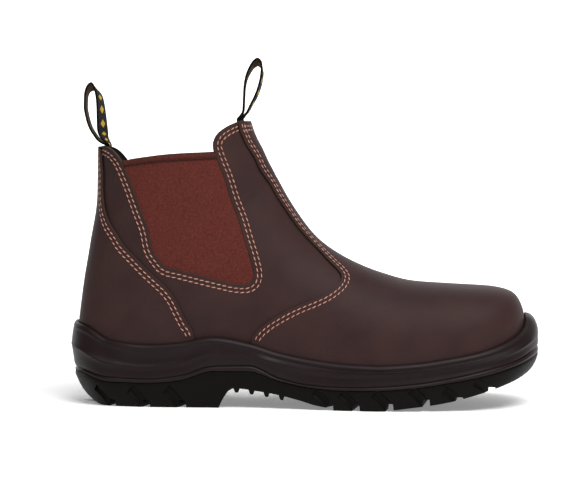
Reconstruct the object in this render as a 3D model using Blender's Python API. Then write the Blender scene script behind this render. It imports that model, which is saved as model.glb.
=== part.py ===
"""Side gore work boot for the right foot: a pull-on safety boot with a moulded two-part sole.

The leather form is a fan of sections. Each one starts at the feather line, where the upper
meets the sole, goes over the boot and comes down on the other side. The fan opens flat round
the toe, stands up at the ball, leans back through the ankle and ends level at the collar.
Panels are shells between two offsets of that form, cut to their outline as seen from the side.
X runs from heel to toe, -Y is the outer side, +Z is up and the boot stands on Z = 0.
"""

import math

import bmesh
import bpy
from mathutils import Vector
from mathutils.bvhtree import BVHTree

# Driving dimensions, in metres
SOLE_LENGTH = 0.310
BALL_WIDTH = 0.112
INSTEP_HEIGHT = 0.115
COLLAR_HEIGHT = 0.187
HEEL_SEAT = 0.027
BALL_SEAT = 0.0145
TOE_SEAT = 0.030
SOLE_SIDE_HEIGHT = 0.050

# Materials and fits
QUARTER_WALL = 0.0024
OVERLAY_WALL = 0.0015
GORE_WALL = 0.0016
GAP = 0.0003
CUP_GAP = 0.0004
INSOLE_THICKNESS = 0.004
INSOLE_EASE = 0.0014
INSOLE_BEVEL = 0.0012
WEBBING_WIDTH = 0.020
WEBBING_THICKNESS = 0.0013
LOOP_HEIGHT = 0.040
TAB_LENGTH = 0.016
TAB_START = 0.001

# The sole
FLANGE = 0.0075
RIM_WALL = 0.0032
RIM_BEAD = 0.0042
RIM_GROOVE = 0.0007
RIDGE_STEP = 0.0014
JOINT_STEP = 0.0009
CUP_FLOOR = 0.0025
ARCH_RIBS = 4
RIB_WIDTH = 0.0034
RIB_HEIGHT = 0.0028
CHANNEL_WIDTH = 0.0046
CHANNEL_DEPTH = 0.0045
CHANNEL_END = 0.011
MOUTH_HEIGHT = 0.0085
MOUTH_DEPTH = 0.0034
MOUTH_DROP = 0.002

# How finely the forms are cut up
STEPS_PER_ROW = 2
POINTS_PER_SIDE = 8
SOLE_STATIONS = 26
DENSE = 240
BEND_WEIGHT = 0.025
FINEST = 0.0004

# Depths below the outside of vamp and counter
QUARTER_FACE = -(OVERLAY_WALL + GAP)
LINING_FACE = QUARTER_FACE - QUARTER_WALL
GORE_FACE = LINING_FACE + GORE_WALL


def table(columns, *rows):
    """A dictionary of columns, read from rows."""
    return dict(zip(columns, zip(*rows)))


# Feather line in plan: x in shares of SOLE_LENGTH, half-widths in shares of BALL_WIDTH
FEATHER_BACK = 0.0226
HEEL_ROUND = 0.1129
HEEL_POWER = 2.2
FEATHER = table(
    ("x", "outer", "inner"),
    (HEEL_ROUND, 0.286, 0.277),
    (0.1935, 0.303, 0.293),
    (0.2903, 0.306, 0.278),
    (0.3871, 0.318, 0.266),
    (0.4839, 0.362, 0.292),
    (0.5806, 0.415, 0.344),
    (0.6613, 0.442, 0.397),
    (0.7258, 0.440, 0.420),
    (0.7903, 0.424, 0.424),
)

# Height of the feather line: how much of each seat height counts at x
SEATS = table(
    ("x", "heel", "ball", "toe"),
    (0.02, 0.96, 0.00, 0.00),
    (0.10, 0.93, 0.00, 0.00),
    (0.24, 0.89, 0.00, 0.00),
    (0.40, 0.45, 0.60, 0.00),
    (0.52, 0.12, 1.00, 0.00),
    (0.60, 0.00, 1.00, 0.00),
    (0.68, 0.00, 1.00, 0.00),
    (0.74, 0.00, 0.80, 0.20),
    (0.80, 0.00, 0.35, 0.60),
    (0.86, 0.00, 0.10, 0.83),
    (1.00, 0.00, 0.00, 1.00),
)

# Sections of the form, from the toe to above the collar. top_x and low_x are shares of
# SOLE_LENGTH; top_z is a share of INSTEP_HEIGHT up to 1, and past 1 of the shaft above it;
# rise is how far up from the feather line to the collar the low end sits; outer, inner and
# ridge are shares of BALL_WIDTH; widest is how far up the section it is widest.
SECTIONS = table(
    ("name", "top_x", "top_z", "low_x", "rise", "outer", "inner", "ridge", "widest", "power"),
    ("toe edge", 0.974, 0.261, 0.790, 0.0, 0.424, 0.424, 0.060, 0.00, 2.15),
    ("toe wall", 0.977, 0.400, 0.778, 0.0, 0.428, 0.430, 0.060, 0.05, 2.20),
    ("toe rim", 0.971, 0.530, 0.764, 0.0, 0.434, 0.434, 0.058, 0.10, 2.35),
    ("toe crown", 0.949, 0.640, 0.750, 0.0, 0.438, 0.435, 0.055, 0.15, 2.50),
    ("toe top", 0.903, 0.675, 0.735, 0.0, 0.443, 0.435, 0.050, 0.20, 2.60),
    ("vamp front", 0.816, 0.689, 0.708, 0.0, 0.450, 0.430, 0.045, 0.25, 2.50),
    ("vamp", 0.735, 0.704, 0.668, 0.0, 0.451, 0.416, 0.040, 0.28, 2.30),
    ("ball", 0.661, 0.755, 0.613, 0.0, 0.438, 0.386, 0.035, 0.30, 2.15),
    ("instep front", 0.587, 0.840, 0.526, 0.0, 0.402, 0.335, 0.027, 0.32, 2.05),
    ("instep", 0.527, 0.952, 0.419, 0.0, 0.362, 0.306, 0.020, 0.35, 2.00),
    ("throat", 0.483, 1.160, 0.297, 0.0, 0.342, 0.312, 0.013, 0.40, 2.00),
    ("ankle front", 0.458, 1.330, 0.190, 0.0, 0.340, 0.324, 0.007, 0.43, 2.00),
    ("ankle", 0.444, 1.440, 0.100, 0.0, 0.339, 0.330, 0.003, 0.46, 2.00),
    ("heel side", 0.436, 1.500, 0.045, 0.0, 0.337, 0.330, 0.001, 0.48, 2.00),
    ("heel corner", 0.431, 1.542, FEATHER_BACK, 0.0, 0.335, 0.329, 0.0, 0.50, 2.00),
    ("heel back", 0.420, 1.632, 0.0150, 0.120, 0.330, 0.326, 0.0, 0.50, 2.00),
    ("counter", 0.408, 1.743, 0.0245, 0.305, 0.329, 0.326, 0.0, 0.50, 2.00),
    ("ankle back", 0.396, 1.840, 0.0395, 0.490, 0.326, 0.326, 0.0, 0.50, 2.00),
    ("shaft", 0.388, 1.924, 0.0545, 0.690, 0.329, 0.329, 0.0, 0.50, 2.05),
    ("collar", 0.379, 2.050, 0.0560, 0.920, 0.330, 0.330, 0.0, 0.50, 2.10),
)
LOW_POWER = 2.4


def between(xs, ys, x):
    """Monotone cubic through the points (xs, ys), level past both ends."""
    if x <= xs[0]:
        return ys[0]
    if x >= xs[-1]:
        return ys[-1]
    steps = [b - a for a, b in zip(xs, xs[1:])]
    rises = [(b - a) / step for a, b, step in zip(ys, ys[1:], steps)]
    slopes = [rises[0]]
    for i in range(1, len(rises)):
        before, after = rises[i - 1], rises[i]
        if before * after <= 0.0:
            slopes.append(0.0)
            continue
        near, far = 2 * steps[i] + steps[i - 1], steps[i] + 2 * steps[i - 1]
        slopes.append((near + far) / (near / before + far / after))
    slopes.append(rises[-1])
    i = max(k for k, start in enumerate(xs[:-1]) if start <= x)
    t = (x - xs[i]) / steps[i]
    start, end = ys[i], ys[i + 1]
    rise_in, rise_out = slopes[i] * steps[i], slopes[i + 1] * steps[i]
    return (start * (1 + 2 * t) * (1 - t) ** 2 + end * t * t * (3 - 2 * t)
            + rise_in * t * (1 - t) ** 2 + rise_out * t * t * (t - 1))


def spread(points, count):
    """The line through the points, cut into count lengths, shorter where it bends."""
    kept = [points[0]]
    for point in points[1:-1]:
        if (point - kept[-1]).length > FINEST:
            kept.append(point)
    points = kept + [points[-1]]
    lengths = [0.0]
    before = points[1] - points[0]
    for a, b in zip(points, points[1:]):
        run = b - a
        bend = before.angle(run, 0.0)
        lengths.append(lengths[-1] + run.length + BEND_WEIGHT * bend)
        before = run
    spaced, k = [], 0
    for i in range(count + 1):
        target = lengths[-1] * i / count
        while k < len(points) - 2 and lengths[k + 1] < target:
            k += 1
        part = (target - lengths[k]) / max(lengths[k + 1] - lengths[k], 1e-9)
        spaced.append(points[k].lerp(points[k + 1], min(1.0, part)))
    return spaced


def lift(share):
    """Height of a share: of the instep up to 1, and past 1 of the shaft above it."""
    if share <= 1.0:
        return share * INSTEP_HEIGHT
    return INSTEP_HEIGHT + (share - 1.0) * (COLLAR_HEIGHT - INSTEP_HEIGHT)


def seat(x):
    """Height of the feather line at x."""
    share = x / SOLE_LENGTH
    weights = [between(SEATS["x"], SEATS[name], share) for name in ("heel", "ball", "toe")]
    return weights[0] * HEEL_SEAT + weights[1] * BALL_SEAT + weights[2] * TOE_SEAT


def feather(side, share):
    """Half-width of the feather line at a share of the length, round the heel too."""
    width = between(FEATHER["x"], FEATHER[side], share) * BALL_WIDTH
    if share >= HEEL_ROUND:
        return width
    reach = min(1.0, (HEEL_ROUND - share) / (HEEL_ROUND - FEATHER_BACK))
    return width * (1.0 - reach ** HEEL_POWER) ** (1.0 / HEEL_POWER)


def swell(q, start, widest, power):
    """Half-width at q of the way up a section, as a share of its widest."""
    if q < widest:
        left = 1.0 - q / widest
        return (1.0 - (1.0 - start ** LOW_POWER) * left ** LOW_POWER) ** (1.0 / LOW_POWER)
    up = (q - widest) / (1.0 - widest)
    return max(0.0, 1.0 - up ** power) ** (1.0 / power)


def arc(low, top, start, width, ridge, widest, power, direction):
    """One side of a section, from its low end on the feather line to its top."""
    points = []
    for i in range(DENSE + 1):
        q = 0.5 - 0.5 * math.cos(math.pi * i / DENSE)
        out = swell(q, start, widest, power)
        point = low.lerp(top, q)
        point.y = direction * width * out + ridge * (1.0 - out) * q
        points.append(point)
    return points


def fan():
    """All sections as rows of points, each from its outer low end over to its inner one."""
    count = len(SECTIONS["name"])
    place = list(range(count))
    low_z = []
    for low_x, rise in zip(SECTIONS["low_x"], SECTIONS["rise"]):
        foot = seat(low_x * SOLE_LENGTH)
        low_z.append(foot + rise * (COLLAR_HEIGHT - foot))
    top_z = [lift(share) for share in SECTIONS["top_z"]]
    rows = []
    for step in range((count - 1) * STEPS_PER_ROW + 1):
        at = step / STEPS_PER_ROW
        value = {name: between(place, SECTIONS[name], at) for name in SECTIONS if name != "name"}
        low_x = value["low_x"]
        low_height = between(place, low_z, at)
        if value["rise"] == 0.0:
            low_height = seat(low_x * SOLE_LENGTH)
        low = Vector((low_x * SOLE_LENGTH, 0.0, low_height))
        top = Vector((value["top_x"] * SOLE_LENGTH, 0.0, between(place, top_z, at)))
        sides = []
        for side, direction in (("outer", -1.0), ("inner", 1.0)):
            width = value[side] * BALL_WIDTH
            start = min(1.0, feather(side, low_x) / width) if value["rise"] == 0.0 else 0.0
            dense = arc(low, top, start, width, value["ridge"] * BALL_WIDTH,
                        value["widest"], value["power"], direction)
            sides.append(spread(dense, POINTS_PER_SIDE))
        rows.append(sides[0] + sides[1][-2::-1])
    return rows


class Form:
    """The outside of vamp and counter as a sheet, which can be offset along its normals."""

    def __init__(self):
        """Build the sheet once and keep its points, normals, faces and open edges."""
        bm = bmesh.new()
        grid = [[bm.verts.new(point) for point in row] for row in fan()]
        for lower, upper in zip(grid, grid[1:]):
            for i in range(len(lower) - 1):
                bm.faces.new((lower[i], lower[i + 1], upper[i + 1], upper[i]))
        bmesh.ops.remove_doubles(bm, verts=bm.verts, dist=1e-5)
        bm.normal_update()
        bm.verts.index_update()
        self.points = [vert.co.copy() for vert in bm.verts]
        self.normals = [vert.normal.copy() for vert in bm.verts]
        self.faces = [[vert.index for vert in face.verts] for face in bm.faces]
        self.level = {vert.index for vert in bm.verts
                      if vert.is_boundary and vert.co.z < COLLAR_HEIGHT / 2}
        self.rim = []
        for face in bm.faces:
            for loop in face.loops:
                if loop.edge.is_boundary:
                    self.rim.append((loop.vert.index, loop.link_loop_next.vert.index))
        bm.free()
        self.floor = self.ring(self.level)
        self.top = self.ring({a for a, _ in self.rim} - self.level)

    def ring(self, members):
        """The points of one open edge in order, the other way round than its faces go."""
        following = {b: a for a, b in self.rim if a in members}
        start = min(members, key=lambda index: self.points[index].x)
        line = [start]
        while following[line[-1]] != start:
            line.append(following[line[-1]])
        return line

    def offset(self, depth):
        """The points moved out by depth, with the lower edge kept on the feather line."""
        moved = []
        for index, (point, normal) in enumerate(zip(self.points, self.normals)):
            place = point + normal * depth
            if index in self.level:
                place.z = seat(place.x)
            moved.append(place)
        return moved

    def shell(self, outside, inside):
        """A closed wall between two depths."""
        count = len(self.points)
        points = self.offset(outside) + self.offset(inside)
        faces = [tuple(face) for face in self.faces]
        faces += [tuple(index + count for index in reversed(face)) for face in self.faces]
        faces += [(b, a, a + count, b + count) for a, b in self.rim]
        return points, faces

    def room(self, depth, drop):
        """A solid of the whole inside of the sheet, from drop below its lower edge."""
        points = self.offset(depth)
        for index in self.level:
            points[index].z -= drop
        faces = [tuple(face) for face in self.faces] + [tuple(self.top)]
        count = len(self.floor)
        for i in range(count // 2):
            quad = (self.floor[i], self.floor[i + 1], self.floor[count - i - 1],
                    self.floor[(count - i) % count])
            quad = tuple(dict.fromkeys(quad))
            if len(quad) > 2:
                faces.append(quad)
        return points, faces

    def tree(self, depth):
        """The sheet at a depth, for finding where a line meets it."""
        return BVHTree.FromPolygons(self.offset(depth), self.faces)


def colour(name, red, green, blue, roughness):
    """A plain surface for a piece."""
    material = bpy.data.materials.new(name)
    material.use_nodes = True
    shader = material.node_tree.nodes["Principled BSDF"]
    shader.inputs["Base Color"].default_value = (red, green, blue, 1.0)
    shader.inputs["Roughness"].default_value = roughness
    shader.inputs["Metallic"].default_value = 0.0
    return material


def solid(name, points, faces, material=None):
    """An object from points and faces. Faces with equal points are closed up."""
    bm = bmesh.new()
    verts = [bm.verts.new(point) for point in points]
    for face in faces:
        bm.faces.new([verts[index] for index in face])
    bmesh.ops.remove_doubles(bm, verts=bm.verts, dist=1e-6)
    bmesh.ops.dissolve_degenerate(bm, edges=bm.edges, dist=1e-7)
    bmesh.ops.triangulate(bm, faces=[face for face in bm.faces if len(face.verts) > 3])
    mesh = bpy.data.meshes.new(name)
    bm.to_mesh(mesh)
    bm.free()
    if material:
        mesh.materials.append(material)
        mesh.shade_smooth()
        mesh.set_sharp_from_angle(angle=math.radians(40))
    thing = bpy.data.objects.new(name, mesh)
    bpy.context.collection.objects.link(thing)
    return thing


def guide(thing):
    """Mark a shape that only cuts others."""
    thing.hide_render = True
    thing.display_type = "WIRE"
    return thing


def prism(name, outline, reach=BALL_WIDTH):
    """A cutter: an outline in the side view, run through the boot along Y."""
    count = len(outline)
    area = sum(a[0] * b[1] - b[0] * a[1] for a, b in zip(outline, outline[1:] + outline[:1]))
    if area < 0:
        outline = outline[::-1]
    points = [Vector((x, -reach, z)) for x, z in outline]
    points += [Vector((x, reach, z)) for x, z in outline]
    faces = [tuple(range(count)), tuple(range(2 * count - 1, count - 1, -1))]
    for i in range(count):
        j = (i + 1) % count
        faces.append((j, i, i + count, j + count))
    return guide(solid(name, points, faces))


def cut(thing, cutter, operation, solver="EXACT"):
    """Keep what is inside the cutter, or take it away."""
    modifier = thing.modifiers.new(cutter.name, "BOOLEAN")
    modifier.object = cutter
    modifier.operation = operation
    modifier.solver = solver


# Lines round the sole at a share of the way from the back of the heel to the tip of the toe.
# Heights are shares of SOLE_SIDE_HEIGHT, and flange and tread are shares of FLANGE.
SOLE_LINES = table(
    ("way", "rim", "ridge", "joint_top", "joint_foot", "bottom", "flange", "tread"),
    (0.00, 1.110, 0.760, 0.460, 0.420, 0.000, 0.93, -1.45),
    (0.06, 1.040, 0.750, 0.465, 0.425, 0.000, 0.93, -1.00),
    (0.12, 0.860, 0.570, 0.388, 0.326, 0.000, 0.95, 0.20),
    (0.19, 0.814, 0.526, 0.370, 0.316, 0.000, 0.95, 0.70),
    (0.25, 0.844, 0.588, 0.418, 0.354, 0.000, 0.95, 0.75),
    (0.31, 0.918, 0.720, 0.540, 0.476, 0.000, 0.95, 0.75),
    (0.38, 0.842, 0.695, 0.555, 0.480, 0.000, 0.93, 0.75),
    (0.44, 0.722, 0.615, 0.400, 0.362, 0.000, 0.95, 0.78),
    (0.50, 0.644, 0.520, 0.324, 0.286, 0.000, 0.97, 0.80),
    (0.56, 0.598, 0.483, 0.308, 0.260, 0.000, 1.00, 0.82),
    (0.62, 0.584, 0.480, 0.317, 0.266, 0.000, 1.00, 0.82),
    (0.69, 0.616, 0.506, 0.358, 0.304, 0.050, 1.00, 0.80),
    (0.75, 0.676, 0.560, 0.422, 0.366, 0.112, 1.02, 0.78),
    (0.81, 0.758, 0.632, 0.518, 0.448, 0.222, 1.05, 0.72),
    (0.88, 0.905, 0.775, 0.645, 0.570, 0.355, 1.12, 0.62),
    (0.93, 1.030, 0.890, 0.740, 0.650, 0.435, 1.17, 0.57),
    (0.97, 1.170, 0.970, 0.775, 0.685, 0.465, 1.20, 0.53),
    (1.00, 1.205, 0.990, 0.780, 0.690, 0.470, 1.20, 0.53),
)

# The arch under the waist: x in shares of SOLE_LENGTH, z in shares of SOLE_SIDE_HEIGHT
ARCH = table(
    ("x", "z"),
    (0.313, -0.100),
    (0.323, 0.040),
    (0.332, 0.150),
    (0.342, 0.230),
    (0.353, 0.260),
    (0.400, 0.228),
    (0.450, 0.178),
    (0.490, 0.120),
    (0.520, 0.066),
    (0.550, 0.026),
    (0.580, -0.100),
)
FIRST_RIB = 0.358
RIB_PITCH = 0.0315

# Side lugs are parted by grooves: x in shares of SOLE_LENGTH where each meets the ground
GROOVES = (0.086, 0.160, 0.236, 0.547, 0.602, 0.672, 0.748, 0.817, 0.882)
GROOVE_LEAN = 0.0100
CENTRE_GROOVES = ((0.10, 0.27), (0.57, 0.86))

# Pull loops, from the leg inside the boot over to the leg on the lining, in shares of
# LOOP_HEIGHT from the collar's edge: along X and up. Twist turns the webbing about its own run
# and roll raises its outer edge, both in degrees.
FRONT_LOOP = table(
    ("along", "up", "twist", "roll"),
    (-0.065, 0.03, 0.0, 0.0),
    (-0.03, 0.10, 0.0, 0.0),
    (-0.01, 0.19, 0.0, 0.0),
    (-0.003, 0.34, 0.0, 1.0),
    (0.004, 0.52, 0.0, 3.0),
    (0.03, 0.69, 0.0, 6.0),
    (0.09, 0.84, 0.0, 9.0),
    (0.16, 0.94, 0.0, 11.0),
    (0.22, 0.975, 0.0, 12.0),
    (0.275, 0.93, 0.0, 10.0),
    (0.295, 0.83, -1.5, 7.0),
    (0.28, 0.69, -2.0, 4.0),
    (0.24, 0.53, -2.5, 2.0),
    (0.18, 0.38, -2.5, 1.0),
    (0.11, 0.25, -2.0, 0.0),
    (0.06, 0.15, -1.0, 0.0),
    (0.012, 0.08, 0.0, 0.0),
    (-0.022, 0.03, 0.0, 0.0),
)
BACK_LOOP = table(
    ("along", "up", "twist", "roll"),
    (0.13, 0.03, 0.0, 0.0),
    (0.09, 0.09, -5.0, 0.0),
    (0.05, 0.17, -10.0, 0.0),
    (0.028, 0.28, -13.5, 0.0),
    (0.012, 0.47, -11.5, 0.0),
    (-0.004, 0.67, -9.0, 1.0),
    (-0.03, 0.83, -7.0, 4.0),
    (-0.075, 0.94, -5.0, 9.0),
    (-0.14, 0.99, -1.0, 13.0),
    (-0.205, 0.95, 0.0, 10.0),
    (-0.245, 0.83, 0.0, 5.0),
    (-0.25, 0.66, 0.0, 2.0),
    (-0.215, 0.46, 0.0, 0.0),
    (-0.165, 0.31, 0.0, 0.0),
    (-0.085, 0.18, 0.0, 0.0),
    (-0.01, 0.085, 0.0, 0.0),
    (0.09, 0.03, 0.0, 0.0),
)
LOOP_STEPS = 2
BOW_END = 0.14
LOOP_ACROSS = 2

# Seams and edges in the side view: x in shares of SOLE_LENGTH, z as top_z above
COLLAR_BACK = ((0.0613, 1.750), (0.0742, 1.742), (0.0903, 1.706), (0.1060, 1.634), (0.1160, 1.560))
GORE_BACK = ((0.1194, 1.530), (0.1355, 1.367), (0.1516, 1.186), (0.1677, 1.007), (0.1774, 0.891))
GORE_FOOT = ((0.1903, 0.835), (0.2065, 0.790), (0.2387, 0.768), (0.2806, 0.740), (0.3226, 0.713),
             (0.3580, 0.694))
GORE_FRONT = ((0.3839, 0.700), (0.3935, 0.748), (0.3871, 0.838), (0.3742, 0.951), (0.3613, 1.103),
              (0.3452, 1.282), (0.3323, 1.463), (0.3161, 1.642), (0.3100, 1.720))
COLLAR_FRONT = ((0.3080, 1.774), (0.3110, 1.829), (0.3194, 1.883), (0.3355, 1.933), (0.3516, 1.967),
                (0.3677, 1.994))
GORE_TOP = ((0.0900, 1.600), (0.1160, 1.624), (0.1516, 1.648), (0.1935, 1.671), (0.2355, 1.685),
            (0.2774, 1.694), (0.3129, 1.704), (0.3400, 1.710))
VAMP_EDGE = ((0.3840, 0.300), (0.3900, 0.389), (0.3968, 0.422), (0.4097, 0.458), (0.4323, 0.503),
             (0.4742, 0.566), (0.5258, 0.624), (0.5510, 0.658), (0.5718, 0.703), (0.5785, 0.743),
             (0.5718, 0.781), (0.5548, 0.825), (0.5323, 0.889), (0.5097, 0.951), (0.4871, 1.032),
             (0.4677, 1.147), (0.4452, 1.290), (0.4258, 1.432), (0.4065, 1.550), (0.3935, 1.668),
             (0.3774, 1.776), (0.3677, 1.867), (0.3613, 1.939), (0.3600, 2.060))
COUNTER_EDGE = ((0.0600, 2.060), (0.0613, 1.747), (0.0645, 1.628), (0.0677, 1.492), (0.0677, 1.354),
                (0.0710, 1.217), (0.0774, 1.125), (0.0870, 1.040), (0.1000, 0.978), (0.1161, 0.914),
                (0.1419, 0.844), (0.1645, 0.783), (0.1871, 0.726), (0.2097, 0.670), (0.2258, 0.613),
                (0.2387, 0.545), (0.2516, 0.477), (0.2645, 0.421), (0.2700, 0.300))
FAR = 1.3


def place(points):
    """Share points of the side view in metres."""
    return [(x * SOLE_LENGTH, lift(z)) for x, z in points]


def boundary(points, clearance):
    """A line of the side view moved to its left by a clearance."""
    moved = []
    for i, (x, z) in enumerate(points):
        ahead, behind = points[min(i + 1, len(points) - 1)], points[max(i - 1, 0)]
        run, rise = ahead[0] - behind[0], ahead[1] - behind[1]
        length = math.hypot(run, rise)
        moved.append((x - rise / length * clearance, z + run / length * clearance))
    return moved


def upper_outline():
    """The side view of quarters and lining: collar line with the U for the gore."""
    left, right = -FAR * BALL_WIDTH, FAR * SOLE_LENGTH
    line = place(COLLAR_BACK + GORE_BACK + GORE_FOOT + GORE_FRONT + COLLAR_FRONT)
    top = (right, line[-1][1])
    return [(left, -BALL_WIDTH), (left, line[0][1])] + line + [top, (right, -BALL_WIDTH)]


def gore_outline():
    """The U itself, in by the clearance, up to the gore's top."""
    top = place(GORE_TOP)
    xs = [x for x, _ in top]
    zs = [z for _, z in top]
    u = boundary(place(COLLAR_BACK[-2:] + GORE_BACK + GORE_FOOT + GORE_FRONT), GAP)
    kept = [i for i, (x, z) in enumerate(u) if z < between(xs, zs, x) - 2 * GAP]
    ends = []
    for inside, outside in ((kept[0], kept[0] - 1), (kept[-1], kept[-1] + 1)):
        (x, z), (next_x, next_z) = u[inside], u[outside]
        part = min(1.0, (between(xs, zs, x) - z) / (next_z - z))
        ends.append((x + part * (next_x - x), z + part * (next_z - z)))
    hem = [(x, z) for x, z in top if ends[0][0] + 2 * GAP < x < ends[1][0] - 2 * GAP]
    return [ends[0]] + [u[i] for i in kept] + [ends[1]] + hem[::-1]


def upper_pieces(form, leather, elastic):
    """Quarters, vamp, counter and the two gores."""
    quarters = solid("upper", *form.shell(QUARTER_FACE, LINING_FACE), leather)
    cut(quarters, prism("collar_cutter", upper_outline()), "INTERSECT")

    line = place(VAMP_EDGE)
    right = FAR * SOLE_LENGTH
    top_z = place(COLLAR_FRONT)[-1][1]
    line = [(line[0][0], -BALL_WIDTH)] + [point for point in line if point[1] < top_z]
    outline = line + [(line[-1][0], top_z), (right, top_z), (right, -BALL_WIDTH)]
    vamp = solid("vamp", *form.shell(0.0, -OVERLAY_WALL), leather)
    cut(vamp, prism("vamp_cutter", outline), "INTERSECT")

    line = place(COUNTER_EDGE)
    left = -FAR * BALL_WIDTH
    top_z = place(COLLAR_BACK)[0][1]
    line = [point for point in line if point[1] < top_z] + [(line[-1][0], -BALL_WIDTH)]
    outline = [(left, -BALL_WIDTH), (left, top_z), (line[0][0], top_z)] + line
    counter = solid("counter", *form.shell(0.0, -OVERLAY_WALL), leather)
    cut(counter, prism("counter_cutter", outline), "INTERSECT")

    gore_cutter = prism("gore_cutter", gore_outline())
    for name, direction in (("gore_outer", -1.0), ("gore_inner", 1.0)):
        gore = solid(name, *form.shell(GORE_FACE, LINING_FACE), elastic)
        cut(gore, gore_cutter, "INTERSECT")
        far = FAR * SOLE_LENGTH
        half = prism(name + "_side", [(-far, -far), (far, -far), (far, far), (-far, far)], far)
        half.location.y = direction * (far + GAP)
        cut(gore, half, "INTERSECT")


def side_line(side, direction):
    """The feather line of one side, from the back of the heel to the tip of the toe."""
    toe_start = SECTIONS["low_x"][0]
    points = []
    for i in range(DENSE + 1):
        share = FEATHER_BACK + (toe_start - FEATHER_BACK) * (1.0 - math.cos(0.5 * math.pi * i / DENSE))
        points.append(Vector((share * SOLE_LENGTH, direction * feather(side, share), 0.0)))
    low = Vector((toe_start * SOLE_LENGTH, 0.0, 0.0))
    top = Vector((SECTIONS["top_x"][0] * SOLE_LENGTH, 0.0, 0.0))
    width = SECTIONS[side][0] * BALL_WIDTH
    toe = arc(low, top, 1.0, width, SECTIONS["ridge"][0] * BALL_WIDTH, 0.0,
              SECTIONS["power"][0], direction)
    return spread(points + toe[1:], SOLE_STATIONS)


def way_along(points):
    """How far along the line each point is, from 0 to 1."""
    lengths = [0.0]
    for a, b in zip(points, points[1:]):
        lengths.append(lengths[-1] + (b - a).length)
    return [length / lengths[-1] for length in lengths]


def stations():
    """Round the feather line: share of the way from heel to toe, point and outward direction."""
    outer = side_line("outer", -1.0)
    inner = side_line("inner", 1.0)
    points = outer + inner[-2:0:-1]
    shares = way_along(outer) + way_along(inner)[-2:0:-1]
    found = []
    for i, point in enumerate(points):
        run = points[(i + 1) % len(points)] - points[i - 1]
        outward = Vector((run.y, -run.x, 0.0)).normalized()
        found.append((shares[i], point, outward))
    return found


def sole_values(way):
    """Every line of the sole at one share of the way round, in metres."""
    found = {}
    for name in SOLE_LINES:
        size = FLANGE if name in ("flange", "tread") else SOLE_SIDE_HEIGHT
        found[name] = size * between(SOLE_LINES["way"], SOLE_LINES[name], way)
    return found


def bands(rings):
    """Quads between closed rings of equal count, from one ring to the next."""
    count = len(rings[0])
    faces = []
    for level in range(len(rings) - 1):
        for i in range(count):
            j = (i + 1) % count
            a, b = level * count, (level + 1) * count
            faces.append((a + i, a + j, b + j, b + i))
    return faces


def ladder(start, up):
    """Faces across a ring round the sole, from one side to the other."""
    half = SOLE_STATIONS
    faces = []
    for i in range(half):
        a, b = start + i, start + i + 1
        c = start + 2 * half - i - 1
        d = start + (2 * half - i) % (2 * half)
        face = tuple(dict.fromkeys((a, b, c, d)))
        faces.append(face if up else face[::-1])
    return faces


def ring_solid(name, rings, material):
    """A closed solid of rings: the first is its floor on top, the last its underside."""
    points = [point for ring in rings for point in ring]
    count = len(rings[0])
    faces = [face[::-1] for face in bands(rings)]
    faces += ladder(0, True) + ladder(count * (len(rings) - 1), False)
    return solid(name, points, faces, material)


def at(station, out, height):
    """A point beside a station of the feather line."""
    place = station[1] + station[2] * out
    return Vector((place.x, place.y, height))


def rim_place(form_tree, station, height):
    """How far out from the feather line the leather stands at the height of the rim."""
    start = at(station, BALL_WIDTH, height)
    hit = form_tree.ray_cast(start, -station[2])[0]
    return BALL_WIDTH - (start - hit).length


def cup_rooms(form):
    """What the cup leaves free: the quarters, and more where vamp or counter lies over them."""
    yield guide(solid("quarter_room", *form.room(QUARTER_FACE + CUP_GAP, GAP)))
    counter_end = max(x for x, z in place(COUNTER_EDGE)) + CUP_GAP
    vamp_start = min(x for x, z in place(VAMP_EDGE)[:4]) - CUP_GAP
    reach = FAR * SOLE_LENGTH
    for name, start, end in (("counter_room", -reach, counter_end), ("vamp_room", vamp_start, reach)):
        room = guide(solid(name, *form.room(CUP_GAP, GAP)))
        half = [(start, -reach), (end, -reach), (end, 2 * SOLE_SIDE_HEIGHT),
                (start, 2 * SOLE_SIDE_HEIGHT)]
        cut(room, prism(name + "_side", half), "INTERSECT")
        yield room


def midsole(form, ring_stations, rubber):
    """The cup: floor, wall up to the rim bead, ridge and the lip over the outsole."""
    form_tree = form.tree(CUP_GAP)
    rings = [[] for _ in range(12)]
    for station in ring_stations:
        line = sole_values(station[0])
        floor = seat(station[1].x) - GAP
        leather = rim_place(form_tree, station, line["rim"])
        rim_out = leather + RIM_WALL
        flange = max(line["flange"], rim_out + 2 * GAP)
        shoulder = rim_out + 0.72 * (flange - rim_out)
        under_rim = line["rim"] - RIM_BEAD
        under = min(line["joint_foot"], floor - CUP_FLOOR)
        profile = (
            (leather - RIM_WALL, line["rim"]),
            (leather + 0.40 * RIM_WALL, line["rim"]),
            (rim_out, line["rim"] - 0.30 * RIM_BEAD),
            (rim_out + 0.3 * RIM_GROOVE, line["rim"] - 0.70 * RIM_BEAD),
            (rim_out - RIM_GROOVE, under_rim),
            (shoulder, line["ridge"] + 0.45 * (under_rim - line["ridge"])),
            (flange, line["ridge"]),
            (flange - RIDGE_STEP, line["ridge"] - 1.2 * RIDGE_STEP),
            (flange - JOINT_STEP, line["joint_top"]),
            (line["flange"], 0.5 * (line["joint_top"] + line["joint_foot"])),
            (line["flange"] - 0.5 * JOINT_STEP, line["joint_foot"] + 0.5 * GAP),
            (0.0, under),
        )
        for ring, (out, height) in zip(rings, profile):
            ring.append(at(station, out, height))
    cup = ring_solid("midsole", rings, rubber)
    for room in cup_rooms(form):
        cut(cup, room, "DIFFERENCE")
    return cup


def share_at(x, ring_stations):
    """The share of the way from heel to toe at x, on the outer side."""
    side = ring_stations[:SOLE_STATIONS + 1]
    return between([station[1].x for station in side], [station[0] for station in side], x)


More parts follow.
